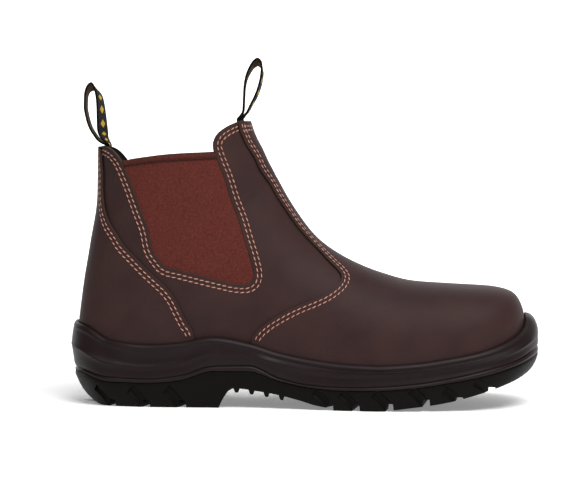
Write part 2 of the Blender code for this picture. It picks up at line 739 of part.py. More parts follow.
def slanted_box(corners, low, high):
    """Points and faces of a box from four corners in plan, with a low and high height each."""
    points = [Vector((x, y, z)) for (x, y), z in zip(corners, low)]
    points += [Vector((x, y, z)) for (x, y), z in zip(corners, high)]
    faces = [(3, 2, 1, 0), (4, 5, 6, 7)]
    faces += [(i, (i + 1) % 4, (i + 1) % 4 + 4, i + 4) for i in range(4)]
    return points, faces


def many(name, boxes):
    """One cutter of many boxes that stay clear of each other."""
    points, faces = [], []
    for box_points, box_faces in boxes:
        start = len(points)
        points += box_points
        faces += [tuple(index + start for index in face) for face in box_faces]
    return guide(solid(name, points, faces))


def outsole(ring_stations, rubber):
    """The tread: sides that round under, arch with ribs, and grooves between the lugs."""
    rings = [[] for _ in range(7)]
    for station in ring_stations:
        line = sole_values(station[0])
        under = min(line["joint_foot"], seat(station[1].x) - GAP - CUP_FLOOR) - GAP
        drop = line["joint_foot"] - line["bottom"]
        flange, tread = line["flange"], line["tread"]
        profile = (
            (0.0, under),
            (flange - 0.5 * JOINT_STEP, line["joint_foot"] - 0.5 * GAP),
            (flange, line["joint_foot"] - 0.12 * drop),
            (tread + 0.80 * (flange - tread), line["joint_foot"] - 0.42 * drop),
            (tread + 0.45 * (flange - tread), line["bottom"] + 0.25 * drop),
            (tread + 0.14 * (flange - tread), line["bottom"] + 0.07 * drop),
            (tread, line["bottom"]),
        )
        for ring, (out, height) in zip(rings, profile):
            ring.append(at(station, out, height))
    sole = ring_solid("outsole", rings, rubber)

    xs = [share * SOLE_LENGTH for share in ARCH["x"]]
    zs = [share * SOLE_SIDE_HEIGHT for share in ARCH["z"]]
    arch = [(xs[0], zs[0])]
    first = FIRST_RIB * SOLE_LENGTH
    pitch = RIB_PITCH * SOLE_LENGTH
    ribs = [first + pitch * i for i in range(ARCH_RIBS)]
    last = ribs[-1] + 0.5 * RIB_WIDTH
    arch += [(x, z) for x, z in zip(xs, zs) if xs[0] < x < first - RIB_WIDTH]
    for rib in ribs:
        for side, drop in ((-0.5, 0.0), (-0.35, 1.0), (0.35, 1.0), (0.5, 0.0)):
            x = rib + side * RIB_WIDTH
            arch.append((x, between(xs, zs, x) - drop * RIB_HEIGHT))
    arch += [(x, z) for x, z in zip(xs, zs) if x > last + 0.3 * RIB_WIDTH]
    below = -SOLE_SIDE_HEIGHT
    cut(sole, prism("arch_cutter", arch + [(arch[-1][0], below), (arch[0][0], below)]), "DIFFERENCE")

    def bottom(x):
        """Height of the underside at x."""
        return sole_values(share_at(x, ring_stations))["bottom"]

    for number, (start, end) in enumerate(CENTRE_GROOVES):
        line = [(SOLE_LENGTH * (start + (end - start) * i / 6)) for i in range(7)]
        roof = [(x, bottom(x) + CHANNEL_DEPTH) for x in line]
        outline = roof + [(line[-1], below), (line[0], below)]
        cutter = prism("centre_groove_%d" % number, outline, 0.5 * CHANNEL_WIDTH)
        cut(sole, cutter, "DIFFERENCE")

    channels, mouths = [], []
    for share in GROOVES:
        x = share * SOLE_LENGTH
        for side, direction in (("outer", -1.0), ("inner", 1.0)):
            edge = direction * (feather(side, share) + FLANGE)
            far = edge + direction * FLANGE
            near = direction * CHANNEL_END
            half = 0.5 * CHANNEL_WIDTH
            forward = 0.8 * GROOVE_LEAN
            corners = [(x - half, far), (x + half, far),
                       (x + forward + half, near), (x + forward - half, near)]
            if direction > 0:
                corners.reverse()
            floor = [bottom(cx) + CHANNEL_DEPTH for cx, _ in corners]
            channels.append(slanted_box(corners, [below] * 4, floor))
            base = bottom(x)
            inside = edge - direction * MOUTH_DEPTH
            low = base - MOUTH_DROP
            high = base + MOUTH_HEIGHT
            low_x = x + GROOVE_LEAN * MOUTH_DROP / MOUTH_HEIGHT
            high_x = x - GROOVE_LEAN
            points = []
            for place_y in (inside, far):
                points += [Vector((low_x - half, place_y, low)), Vector((low_x + half, place_y, low)),
                           Vector((high_x + 0.6 * half, place_y, high)),
                           Vector((high_x - 0.6 * half, place_y, high))]
            faces = [(0, 1, 2, 3), (7, 6, 5, 4)]
            faces += [((i + 1) % 4, i, i + 4, (i + 1) % 4 + 4) for i in range(4)]
            if direction < 0:
                faces = [face[::-1] for face in faces]
            mouths.append((points, faces))
    cut(sole, many("channel_cutter", channels), "DIFFERENCE", "MANIFOLD")
    cut(sole, many("mouth_cutter", mouths), "DIFFERENCE", "MANIFOLD")
    return sole


def insole(ring_stations, foam):
    """A flat bed that fills the floor of the upper."""
    profile = ((1.0, 1.0), (0.0, 0.75), (0.0, 0.1), (0.5, 0.0))
    rings = [[] for _ in profile]
    for station in ring_stations:
        floor = seat(station[1].x)
        out = LINING_FACE - INSOLE_EASE
        for ring, (inset, up) in zip(rings, profile):
            ring.append(at(station, out - inset * INSOLE_BEVEL, floor + up * INSOLE_THICKNESS))
    return ring_solid("insole", rings, foam)


def pull_loop(name, form, values, edge, direction, webbing):
    """Webbing from inside the collar, up, over and back down onto the lining."""
    lining = form.tree(LINING_FACE - GAP)
    rows = range(len(values["up"]))
    path = []
    for step in range((len(rows) - 1) * LOOP_STEPS + 1):
        here = step / LOOP_STEPS
        path.append([between(rows, values[name], here) for name in values])
    sheet = []
    shares = [i / LOOP_ACROSS - 0.5 for i in range(LOOP_ACROSS + 1)]

    def tab(y, z, leg):
        """A point of the webbing on the lining, or on the leg that lies there already."""
        start = Vector((edge[0] - direction * 0.3 * BALL_WIDTH, y, z))
        hit = lining.ray_cast(start, Vector((direction, 0.0, 0.0)))[0]
        return Vector((hit.x - direction * (0.5 * WEBBING_THICKNESS
                                            + leg * (WEBBING_THICKNESS + GAP)), y, z))

    heights = (edge[1] - TAB_LENGTH, edge[1] - 0.5 * TAB_LENGTH, edge[1] - TAB_START)
    for z in heights:
        sheet.append([tab(share * WEBBING_WIDTH, z, 1) for share in shares])
    curve = [tab(share * WEBBING_WIDTH, edge[1] - TAB_START, 0).x for share in shares]
    middle = curve[len(curve) // 2]
    for along, up, twist, roll in path:
        turn, tip = math.radians(twist), math.radians(roll)
        row = []
        for share, x in zip(shares, curve):
            across = share * WEBBING_WIDTH
            bow = (x - middle) * max(0.0, 1.0 - up / BOW_END)
            row.append(Vector((edge[0] + along * LOOP_HEIGHT + bow - across * math.sin(turn),
                               across * math.cos(turn),
                               edge[1] + up * LOOP_HEIGHT - across * math.sin(tip))))
        sheet.append(row)
    for z in reversed(heights):
        sheet.append([tab(share * WEBBING_WIDTH, z, 0) for share in shares])

    across = len(shares)
    points = []
    for side in (0.5, -0.5):
        for i, row in enumerate(sheet):
            before, after = sheet[max(i - 1, 0)], sheet[min(i + 1, len(sheet) - 1)]
            for k, point in enumerate(row):
                run = after[k] - before[k]
                wide = row[min(k + 1, across - 1)] - row[max(k - 1, 0)]
                points.append(point + run.cross(wide).normalized() * side * WEBBING_THICKNESS)
    count = len(sheet) * across
    faces = []
    for i in range(len(sheet) - 1):
        for k in range(across - 1):
            a = i * across + k
            faces.append((a, a + 1, a + across + 1, a + across))
            faces.append((a + count, a + across + count, a + across + 1 + count, a + 1 + count))
        for k, flip in ((0, False), (across - 1, True)):
            a = i * across + k
            face = (a, a + across, a + across + count, a + count)
            faces.append(face[::-1] if flip else face)
    for i, flip in ((0, True), (len(sheet) - 1, False)):
        for k in range(across - 1):
            a = i * across + k
            face = (a, a + 1, a + 1 + count, a + count)
            faces.append(face if not flip else face[::-1])
    faces = [face[::-1] for face in faces]
    return solid(name, points, faces, webbing)


def centre(soles):
    """Put the middle of the sole's box over the origin, with everything on one empty."""
    corners = [Vector(corner) for sole in soles for corner in sole.bound_box]
    middle = [0.5 * (min(corner[i] for corner in corners) + max(corner[i] for corner in corners))
              for i in range(2)]
    boot = bpy.data.objects.new("boot", None)
    bpy.context.collection.objects.link(boot)
    for thing in bpy.data.objects:
        if thing.type == "MESH":
            thing.parent = boot
    boot.location = (-middle[0], -middle[1], 0.0)


def main():
    """The whole boot."""
    for thing in list(bpy.data.objects):
        bpy.data.objects.remove(thing, do_unlink=True)
    leather = colour("dark brown leather", 0.047, 0.033, 0.031, 0.6)
    elastic = colour("red-brown elastic", 0.11, 0.027, 0.023, 0.85)
    cup = colour("dark brown cup", 0.024, 0.015, 0.014, 0.55)
    tread = colour("near-black tread", 0.012, 0.011, 0.009, 0.6)
    foam = colour("dark foam", 0.03, 0.03, 0.03, 0.9)
    webbing = colour("black webbing", 0.012, 0.011, 0.01, 0.8)
    form = Form()
    upper_pieces(form, leather, elastic)
    ring_stations = stations()
    soles = [midsole(form, ring_stations, cup), outsole(ring_stations, tread)]
    insole(ring_stations, foam)
    front = place(COLLAR_FRONT)[-1]
    back = place(COLLAR_BACK)[0]
    pull_loop("pull_loop_front", form, FRONT_LOOP, front, 1.0, webbing)
    pull_loop("pull_loop_back", form, BACK_LOOP, back, -1.0, webbing)
    centre(soles)


main()
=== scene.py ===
# %% [markdown]
# # A side gore work boot
#
# The real thing is a pull-on boot: a dark oiled leather upper with a piece of elastic let into
# each side, two webbing loops to pull it on by, and a moulded sole in two parts, a soft cup
# that holds the leather and a hard tread under it. The solid model gives every piece its place
# and size. This lesson gives each piece its finish: smooth leather with cut edges and real
# stitches, woven elastic, moulded rubber. We load the solid model first and take the back of
# the heel from its midsole; each of its pieces is hidden once a dressed piece stands for it.

# %% Load the solid model
import math

import bpy
from mathutils import Matrix, Vector
from mathutils.bvhtree import BVHTree


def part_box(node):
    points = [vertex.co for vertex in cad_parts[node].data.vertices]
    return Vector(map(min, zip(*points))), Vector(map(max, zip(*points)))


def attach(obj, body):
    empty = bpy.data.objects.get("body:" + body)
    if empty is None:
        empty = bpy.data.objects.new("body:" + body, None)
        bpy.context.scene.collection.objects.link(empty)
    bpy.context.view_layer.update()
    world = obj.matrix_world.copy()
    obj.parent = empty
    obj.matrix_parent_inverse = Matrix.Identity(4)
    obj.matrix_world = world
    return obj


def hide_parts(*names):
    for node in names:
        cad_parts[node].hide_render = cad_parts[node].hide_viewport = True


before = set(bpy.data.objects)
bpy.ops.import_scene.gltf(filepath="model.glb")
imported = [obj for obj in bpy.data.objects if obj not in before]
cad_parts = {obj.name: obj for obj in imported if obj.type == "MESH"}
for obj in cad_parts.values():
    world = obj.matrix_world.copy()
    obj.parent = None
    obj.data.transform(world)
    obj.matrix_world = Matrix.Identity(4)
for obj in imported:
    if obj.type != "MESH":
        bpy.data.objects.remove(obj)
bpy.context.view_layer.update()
MM = 0.001

# %% [markdown]
# ## Camera
#
# A product picture of a boot is taken from far off with a long lens, so that toe and heel look
# equally near. The lens and distance here give 0.665 mm to a pixel at the boot's middle, from
# three degrees above level, with the camera turned by less than half a degree.

# %% Camera
LOOK_AT = Vector((-7.8, 0.9, 102.4)) * MM
DISTANCE = 1.6
ABOVE = math.radians(3.0)
TURNED = math.radians(0.4)

away = Vector((0.0, -math.cos(ABOVE), math.sin(ABOVE)))
bpy.ops.object.camera_add(location=LOOK_AT + away * DISTANCE)
camera = bpy.context.object
camera.name = "camera"
facing = away.to_track_quat("Z", "Y").to_matrix()
camera.rotation_euler = (facing @ Matrix.Rotation(TURNED, 3, "Z")).to_euler()
camera.data.sensor_width = 36.0
camera.data.lens = 147.3
camera.data.clip_start = 0.05
bpy.context.scene.camera = camera
bpy.context.scene.view_settings.view_transform = "Standard"
print("lens, mm:", camera.data.lens)

# %% [markdown]
# ## Materials: the helpers
#
# Colours are picked as hex values, as a paint chart gives them, and Blender wants them linear,
# so one function turns them. Another gives a node its inputs, and a third adds a node and hands
# back the output that the next one reads. They are all that the materials below need.

# %% Helpers for materials
WHITE = (1.0, 1.0, 1.0, 1.0)


def colour(chart):
    """A hex colour, made linear."""
    parts = [int(chart[i:i + 2], 16) / 255.0 for i in (1, 3, 5)]
    linear = [p / 12.92 if p <= 0.04045 else ((p + 0.055) / 1.055) ** 2.4 for p in parts]
    return (*linear, 1.0)


def plug(owner, node, inputs):
    """Give a node its inputs: each is a value, or a socket to link from."""
    for name, value in inputs.items():
        if isinstance(value, bpy.types.NodeSocket):
            owner.node_tree.links.new(value, node.inputs[name])
        else:
            node.inputs[name].default_value = value


def add(owner, kind, inputs, output=0, **settings):
    """Add a node with its settings and inputs, and hand back one of its outputs."""
    node = owner.node_tree.nodes.new(kind)
    for name, value in settings.items():
        setattr(node, name, value)
    plug(owner, node, inputs)
    return node.outputs[output]


def start(name):
    """A new material and its Principled shader."""
    material = bpy.data.materials.new(name)
    material.use_nodes = True
    return material, material.node_tree.nodes["Principled BSDF"]


# %% [markdown]
# ## Leather
#
# The upper is waxed full-grain cowhide, drum dyed dark brown. It has a fine pebbled grain well
# under a millimetre, drawn here a little coarser so that it shows, and a slow mottle where the
# wax lies thicker. Wax gives it a broad soft shine and no sharp reflections, so the roughness
# is over a half and moves with the mottle. Where a panel is cut, the raw edge is paler.

# %% Leather
def leather(name, light, dark):
    """Waxed cowhide in two close browns."""
    hide, shader = start(name)
    where = add(hide, "ShaderNodeTexCoord", {}, "Object")
    mottle = add(hide, "ShaderNodeTexNoise",
                 {"Vector": where, "Scale": 34.0, "Detail": 3.0, "Roughness": 0.55})
    tone = add(hide, "ShaderNodeMapRange", {"Value": mottle, "From Min": 0.22, "From Max": 0.78})
    mixed = add(hide, "ShaderNodeMix", {0: tone, 6: colour(dark), 7: colour(light)}, 2,
                data_type="RGBA")
    rough = add(hide, "ShaderNodeMapRange", {"Value": mottle, "To Min": 0.50, "To Max": 0.62})
    grain = add(hide, "ShaderNodeTexVoronoi", {"Vector": where, "Scale": 1050.0}, "Distance")
    pores = add(hide, "ShaderNodeTexNoise", {"Vector": where, "Scale": 420.0, "Detail": 2.0})
    relief = add(hide, "ShaderNodeMath", {0: grain, 1: pores}, operation="ADD")
    bump = add(hide, "ShaderNodeBump", {"Height": relief, "Strength": 0.10, "Distance": 0.0004})
    plug(hide, shader, {"Base Color": mixed, "Roughness": rough, "Normal": bump, "IOR": 1.46,
                        "Specular IOR Level": 0.10})
    return hide


upper_leather = leather("waxed dark brown cowhide", "#3b2926", "#302122")
edge_leather = leather("raw cut edge of the cowhide", "#3d2e28", "#302420")
print("leathers:", upper_leather.name, "/", edge_leather.name)

# %% [markdown]
# ## Cloth: lining, elastic, webbing and thread
#
# The lining is a dark non-woven felt. The gore is covered elastic: fine red-brown yarn over
# rubber, woven as a twill so fine that it reads as a matt speckle. The loops are woven
# polyester tape: black, with a plain row of yellow lozenges on one face and brown-gold floats
# on the other. Tape needs a pattern that follows it round the loop, so it reads the piece's
# own UV map. The sewing thread is bonded nylon, pale tan, and the sunk lockstitch is dark red.

# %% Felt and elastic
felt, shader = start("dark non-woven felt")
where = add(felt, "ShaderNodeTexCoord", {}, "Object")
fuzz = add(felt, "ShaderNodeTexNoise", {"Vector": where, "Scale": 900.0, "Detail": 4.0})
mixed = add(felt, "ShaderNodeMix", {0: fuzz, 6: colour("#14110f"), 7: colour("#2f2a27")}, 2,
            data_type="RGBA")
bump = add(felt, "ShaderNodeBump", {"Height": fuzz, "Strength": 0.5, "Distance": 0.0006})
plug(felt, shader, {"Base Color": mixed, "Normal": bump, "Roughness": 0.95,
                    "Specular IOR Level": 0.1})


def elastic(name, light, dark):
    """Covered elastic, woven as a twill."""
    cloth, shader = start(name)
    where = add(cloth, "ShaderNodeTexCoord", {}, "Object")
    waver = add(cloth, "ShaderNodeTexNoise", {"Vector": where, "Scale": 160.0, "Detail": 3.0})
    twill = add(cloth, "ShaderNodeTexWave",
                {"Vector": where, "Scale": 400.0, "Distortion": 3.0, "Detail": 3.0,
                 "Detail Scale": 3.0}, "Fac", wave_type="BANDS", bands_direction="DIAGONAL")
    yarn = add(cloth, "ShaderNodeTexNoise", {"Vector": where, "Scale": 900.0, "Detail": 3.0})
    both = add(cloth, "ShaderNodeMath", {0: twill, 1: 0.20, 2: yarn}, operation="MULTIPLY_ADD")
    tone = add(cloth, "ShaderNodeMath", {0: waver, 1: 0.10, 2: both}, operation="MULTIPLY_ADD")
    shade = add(cloth, "ShaderNodeMapRange", {"Value": tone, "From Min": 0.32, "From Max": 0.98})
    mixed = add(cloth, "ShaderNodeMix", {0: shade, 6: colour(dark), 7: colour(light)}, 2,
                data_type="RGBA")
    bump = add(cloth, "ShaderNodeBump", {"Height": both, "Strength": 0.45, "Distance": 0.0004})
    plug(cloth, shader, {"Base Color": mixed, "Normal": bump, "Roughness": 0.85,
                         "Specular IOR Level": 0.12, "Sheen Weight": 0.03})
    return cloth


gore_cloth = elastic("red-brown covered elastic twill", "#662d25", "#3c1a16")
hem_cloth = elastic("folded hem of the elastic", "#562a21", "#381a15")
print("cloths:", felt.name, "/", gore_cloth.name, "/", hem_cloth.name)

# %% Thread
def thread(name, light, dark):
    """Bonded nylon thread, with its twist drawn as a fine mottle."""
    cord, shader = start(name)
    where = add(cord, "ShaderNodeTexCoord", {}, "Object")
    ply = add(cord, "ShaderNodeTexNoise", {"Vector": where, "Scale": 700.0, "Detail": 1.0})
    mixed = add(cord, "ShaderNodeMix", {0: ply, 6: colour(dark), 7: colour(light)}, 2,
                data_type="RGBA")
    plug(cord, shader, {"Base Color": mixed, "Roughness": 0.6, "Specular IOR Level": 0.2})
    return cord


pale_thread = thread("pale tan bonded nylon", "#d2a996", "#a57b6d")
sunk_thread = thread("dark red bonded nylon", "#4f261f", "#331713")
hem_thread = thread("near-black red hem thread", "#27100d", "#160a08")
print("threads:", pale_thread.name, "/", sunk_thread.name, "/", hem_thread.name)

# %% Webbing
WEBBING_WIDTH = 20.0 * MM
TAPE_RUN = 125.0 * MM
TAPE_MARK = 8.5 * MM
TAPE_RIB = 1.1 * MM
MARK_SIZE = 0.30
MARK_SLANT = 1.15


def tape(name, ground, figure):
    """Woven polyester tape; its UV map runs across it and along it."""
    web, shader = start(name)
    where = add(web, "ShaderNodeUVMap", {}, uv_map="UVMap")
    across = add(web, "ShaderNodeSeparateXYZ", {"Vector": where}, "X")
    along = add(web, "ShaderNodeSeparateXYZ", {"Vector": where}, "Y")
    wefts = 2.0 * math.pi * TAPE_RUN / TAPE_RIB
    warps = 2.0 * math.pi * WEBBING_WIDTH / TAPE_RIB
    ends = []
    for value, *steps in (
            (along, ("MULTIPLY", TAPE_RUN / TAPE_MARK), ("FRACT", 0.0), ("SUBTRACT", 0.5),
             ("ABSOLUTE", 0.0)),
            (across, ("SUBTRACT", 0.5), ("ABSOLUTE", 0.0)),
            (along, ("MULTIPLY", wefts), ("SINE", 0.0)),
            (across, ("MULTIPLY", warps), ("SINE", 0.0))):
        for operation, number in steps:
            value = add(web, "ShaderNodeMath", {0: value, 1: number}, operation=operation)
        ends.append(value)
    step, side, weft, warp = ends
    size = add(web, "ShaderNodeMath", {0: side, 1: MARK_SLANT, 2: step},
               operation="MULTIPLY_ADD")
    mark = add(web, "ShaderNodeMath", {0: size, 1: MARK_SIZE}, operation="LESS_THAN")
    weave = add(web, "ShaderNodeMath", {0: weft, 1: warp}, operation="MULTIPLY")
    light = add(web, "ShaderNodeMapRange",
                {"Value": weave, "From Min": -1.0, "To Min": 0.55, "To Max": 1.0})
    mixed = add(web, "ShaderNodeMix", {0: mark, 6: colour(ground), 7: colour(figure)}, 2,
                data_type="RGBA")
    toned = add(web, "ShaderNodeMix", {0: 1.0, 6: mixed, 7: light}, 2,
                data_type="RGBA", blend_type="MULTIPLY")
    bump = add(web, "ShaderNodeBump", {"Height": weave, "Strength": 0.5, "Distance": 0.0003})
    plug(web, shader, {"Base Color": toned, "Normal": bump, "Roughness": 0.7,
                       "Specular IOR Level": 0.06})
    return web


tape_face = tape("black woven tape with plain yellow lozenges", "#0d0807", "#e8c032")
tape_back = tape("brown-gold floats on the back of the tape", "#4e3512", "#6f4f1a")
print("tapes:", tape_face.name, "/", tape_back.name)

# %% [markdown]
# ## Moulded rubber
#
# The cup is foamed polyurethane, poured in a steel mould: dark brown, matt, with a faint
# cloudiness. The tread is harder nitrile rubber, nearly black, a little duller. Both carry the
# fine texture of a blasted mould, drawn a little coarse, at two thirds of a millimetre.

# %% Moulded rubber
def moulded(name, light, dark, rough, grit, shine_level):
    """A moulded face with the blasted texture of its mould."""
    rubber, shader = start(name)
    where = add(rubber, "ShaderNodeTexCoord", {}, "Object")
    cloud = add(rubber, "ShaderNodeTexNoise", {"Vector": where, "Scale": 55.0, "Detail": 3.0})
    mixed = add(rubber, "ShaderNodeMix", {0: cloud, 6: colour(dark), 7: colour(light)}, 2,
                data_type="RGBA")
    shine = add(rubber, "ShaderNodeMapRange",
                {"Value": cloud, "To Min": rough - 0.06, "To Max": rough + 0.06})
    blast = add(rubber, "ShaderNodeTexNoise", {"Vector": where, "Scale": 1 / grit, "Detail": 2.0})
    bump = add(rubber, "ShaderNodeBump", {"Height": blast, "Strength": 0.16, "Distance": 0.0003})
    plug(rubber, shader, {"Base Color": mixed, "Roughness": shine, "Normal": bump, "IOR": 1.5,
                          "Specular IOR Level": shine_level})
    return rubber


cup_rubber = moulded("moulded brown polyurethane", "#231819", "#1b1314", 0.44, 0.0007, 0.12)
tread_rubber = moulded("moulded black nitrile rubber", "#0e0b0a", "#090706", 0.50, 0.0006, 0.08)
foam_cover = moulded("knitted cover of the footbed", "#2b2928", "#1d1c1b", 0.9, 0.0005, 0.1)
print("rubbers:", cup_rubber.name, "/", tread_rubber.name)

# %% [markdown]
# ## Small tools
#
# Every piece below starts as one of Blender's primitives. A grid, whose points are laid on
# rows of points, gives any smooth sheet, and merging the points that meet closes it. These
# helpers lay the grid, apply a modifier, and hand a finished piece to the frame.

# %% Grid, modifier, finish
def only(piece):
    """Select one piece and make it active."""
    bpy.ops.object.select_all(action="DESELECT")
    piece.select_set(True)
    bpy.context.view_layer.objects.active = piece


def merge(piece, closed):
    """Merge points that meet, and turn the faces of a closed piece outwards."""
    only(piece)
    bpy.ops.object.mode_set(mode="EDIT")
    bpy.ops.mesh.select_all(action="SELECT")
    bpy.ops.mesh.remove_doubles(threshold=0.01 * MM)
    bpy.ops.mesh.dissolve_degenerate(threshold=0.001 * MM)
    if closed:
        bpy.ops.mesh.select_all(action="SELECT")
        bpy.ops.mesh.normals_make_consistent(inside=False)
    bpy.ops.object.mode_set(mode="OBJECT")


def named(name, points):
    """The primitive just added, with its name and its points."""
    piece = bpy.context.object
    piece.name = piece.data.name = name
    piece.location = (0.0, 0.0, 0.0)
    piece.data.vertices.foreach_set("co", [c for point in points for c in point])
    piece.data.update()
    return piece


def lay(name, rows, closed=True):
    """A grid primitive laid on rows of points, with the points that meet merged."""
    bpy.ops.object.select_all(action="DESELECT")
    bpy.ops.mesh.primitive_grid_add(x_subdivisions=len(rows[0]) - 1, y_subdivisions=len(rows) - 1)
    piece = named(name, [point for row in rows for point in row])
    merge(piece, closed)
    bpy.ops.object.shade_smooth()
    return piece


def modify(piece, kind, **settings):
    """Add one modifier and apply it."""
    only(piece)
    modifier = piece.modifiers.new(kind.lower(), kind)
    for name, value in settings.items():
        setattr(modifier, name, value)
    bpy.ops.object.modifier_apply(modifier=modifier.name)


def finish(piece, materials, nodes=()):
    """Give a piece its finish, hide the solid parts it stands for, and hang it on the root."""
    kept = [polygon.material_index for polygon in piece.data.polygons]
    piece.data.materials.clear()
    for material in materials:
        piece.data.materials.append(material)
    piece.data.polygons.foreach_set("material_index", kept)
    if nodes:
        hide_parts(*nodes)
    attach(piece, "root")
    print("%s: %d faces" % (piece.name, len(piece.data.polygons)))


# %% [markdown]
# ## The leather form
#
# A boot is pulled over a last, and its shape is best told in sections. Each section starts at
# the feather line, where leather meets sole, goes up and over, and comes down on the other
# side. Round the toe the sections lie nearly flat, at the ball they stand up, and through the
# ankle they lean back until the last ones are level, at the collar. The numbers are shares of
# the boot's own length, width and heights, so one size can change without the rest.

# %% Sizes and tables of the form
SOLE_LENGTH = 0.310
BALL_WIDTH = 0.112
INSTEP_HEIGHT = 0.115
COLLAR_HEIGHT = 0.187
SEAT_HEIGHTS = {"heel": 0.027, "ball": 0.0145, "toe": 0.030}
QUARTER_WALL = 2.4 * MM
OVERLAY_WALL = 1.5 * MM
GORE_WALL = 1.6 * MM
GAP = 0.3 * MM
QUARTER_FACE = -(OVERLAY_WALL + GAP)
LINING_FACE = QUARTER_FACE - QUARTER_WALL
GORE_FACE = LINING_FACE + GORE_WALL
HEEL_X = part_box("midsole")[0].x
LAST_Y = 0.9 * MM
FAR = 0.4
SHARP = math.radians(38.0)


def table(columns, *rows):
    """A dictionary of columns, read from rows."""
    return dict(zip(columns, zip(*rows)))


FEATHER_BACK = 0.0226
HEEL_ROUND = 0.1129
HEEL_POWER = 2.2
FEATHER = table(
    ("x", "outer", "inner"),
    (HEEL_ROUND, 0.286, 0.277),
    (0.1935, 0.303, 0.293),
    (0.2903, 0.306, 0.278),
    (0.3871, 0.318, 0.266),
    (0.4839, 0.362, 0.292),
    (0.5806, 0.415, 0.344),
    (0.6613, 0.442, 0.397),
    (0.7258, 0.440, 0.420),
    (0.7903, 0.424, 0.424),
)
SEATS = table(
    ("x", "heel", "ball", "toe"),
    (0.02, 0.96, 0.00, 0.00),
    (0.10, 0.93, 0.00, 0.00),
    (0.24, 0.89, 0.00, 0.00),
    (0.40, 0.45, 0.60, 0.00),
    (0.52, 0.12, 1.00, 0.00),
    (0.60, 0.00, 1.00, 0.00),
    (0.68, 0.00, 1.00, 0.00),
    (0.74, 0.00, 0.80, 0.20),
    (0.80, 0.00, 0.35, 0.60),
    (0.86, 0.00, 0.10, 0.83),
    (1.00, 0.00, 0.00, 1.00),
)
SECTIONS = table(
    ("name", "top_x", "top_z", "low_x", "rise", "outer", "inner", "ridge", "widest", "power"),
    ("toe edge", 0.974, 0.261, 0.790, 0.0, 0.424, 0.424, 0.060, 0.00, 2.15),
    ("toe wall", 0.977, 0.400, 0.778, 0.0, 0.428, 0.430, 0.060, 0.05, 2.20),
    ("toe rim", 0.971, 0.530, 0.764, 0.0, 0.434, 0.434, 0.058, 0.10, 2.35),
    ("toe crown", 0.949, 0.640, 0.750, 0.0, 0.438, 0.435, 0.055, 0.15, 2.50),
    ("toe top", 0.903, 0.675, 0.735, 0.0, 0.443, 0.435, 0.050, 0.20, 2.60),
    ("vamp front", 0.816, 0.689, 0.708, 0.0, 0.450, 0.430, 0.045, 0.25, 2.50),
    ("vamp", 0.735, 0.704, 0.668, 0.0, 0.451, 0.416, 0.040, 0.28, 2.30),
    ("ball", 0.661, 0.755, 0.613, 0.0, 0.438, 0.386, 0.035, 0.30, 2.15),
    ("instep front", 0.587, 0.840, 0.526, 0.0, 0.402, 0.335, 0.027, 0.32, 2.05),
    ("instep", 0.527, 0.952, 0.419, 0.0, 0.362, 0.306, 0.020, 0.35, 2.00),
    ("throat", 0.483, 1.160, 0.297, 0.0, 0.342, 0.312, 0.013, 0.40, 2.00),
    ("ankle front", 0.458, 1.330, 0.190, 0.0, 0.340, 0.324, 0.007, 0.43, 2.00),
    ("ankle", 0.444, 1.440, 0.100, 0.0, 0.339, 0.330, 0.003, 0.46, 2.00),
    ("heel side", 0.436, 1.500, 0.045, 0.0, 0.337, 0.330, 0.001, 0.48, 2.00),
    ("heel corner", 0.431, 1.542, FEATHER_BACK, 0.0, 0.335, 0.329, 0.0, 0.50, 2.00),
    ("heel back", 0.420, 1.632, 0.0150, 0.120, 0.330, 0.326, 0.0, 0.50, 2.00),
    ("counter", 0.408, 1.743, 0.0245, 0.305, 0.329, 0.326, 0.0, 0.50, 2.00),
    ("ankle back", 0.396, 1.840, 0.0395, 0.490, 0.326, 0.326, 0.0, 0.50, 2.00),
    ("shaft", 0.388, 1.924, 0.0545, 0.690, 0.329, 0.329, 0.0, 0.50, 2.05),
    ("collar", 0.379, 2.050, 0.0560, 0.920, 0.330, 0.330, 0.0, 0.50, 2.10),
)
LOW_POWER = 2.4
ROW_STEPS = 8
SIDE_STEPS = 72
DENSE = 240
print("sections:", len(SECTIONS["name"]))

# %% Curves through a table
def between(xs, ys, x):
    """Monotone cubic through the points (xs, ys), level past both ends."""
    if x <= xs[0]:
        return ys[0]
    if x >= xs[-1]:
        return ys[-1]
    steps = [b - a for a, b in zip(xs, xs[1:])]
    rises = [(b - a) / step for a, b, step in zip(ys, ys[1:], steps)]
    slopes = [rises[0]]
    for i in range(1, len(rises)):
        before, after = rises[i - 1], rises[i]
        if before * after <= 0.0:
            slopes.append(0.0)
            continue
        near, far = 2 * steps[i] + steps[i - 1], steps[i] + 2 * steps[i - 1]
        slopes.append((near + far) / (near / before + far / after))
    slopes.append(rises[-1])
    i = max(k for k, first in enumerate(xs[:-1]) if first <= x)
    t = (x - xs[i]) / steps[i]
    rise_in, rise_out = slopes[i] * steps[i], slopes[i + 1] * steps[i]
    return (ys[i] * (1 + 2 * t) * (1 - t) ** 2 + ys[i + 1] * t * t * (3 - 2 * t)
            + rise_in * t * (1 - t) ** 2 + rise_out * t * t * (t - 1))


def lengths_along(points):
    """How far along a line each of its points lies."""
    lengths = [0.0]
    for a, b in zip(points, points[1:]):
        lengths.append(lengths[-1] + (b - a).length)
    return lengths


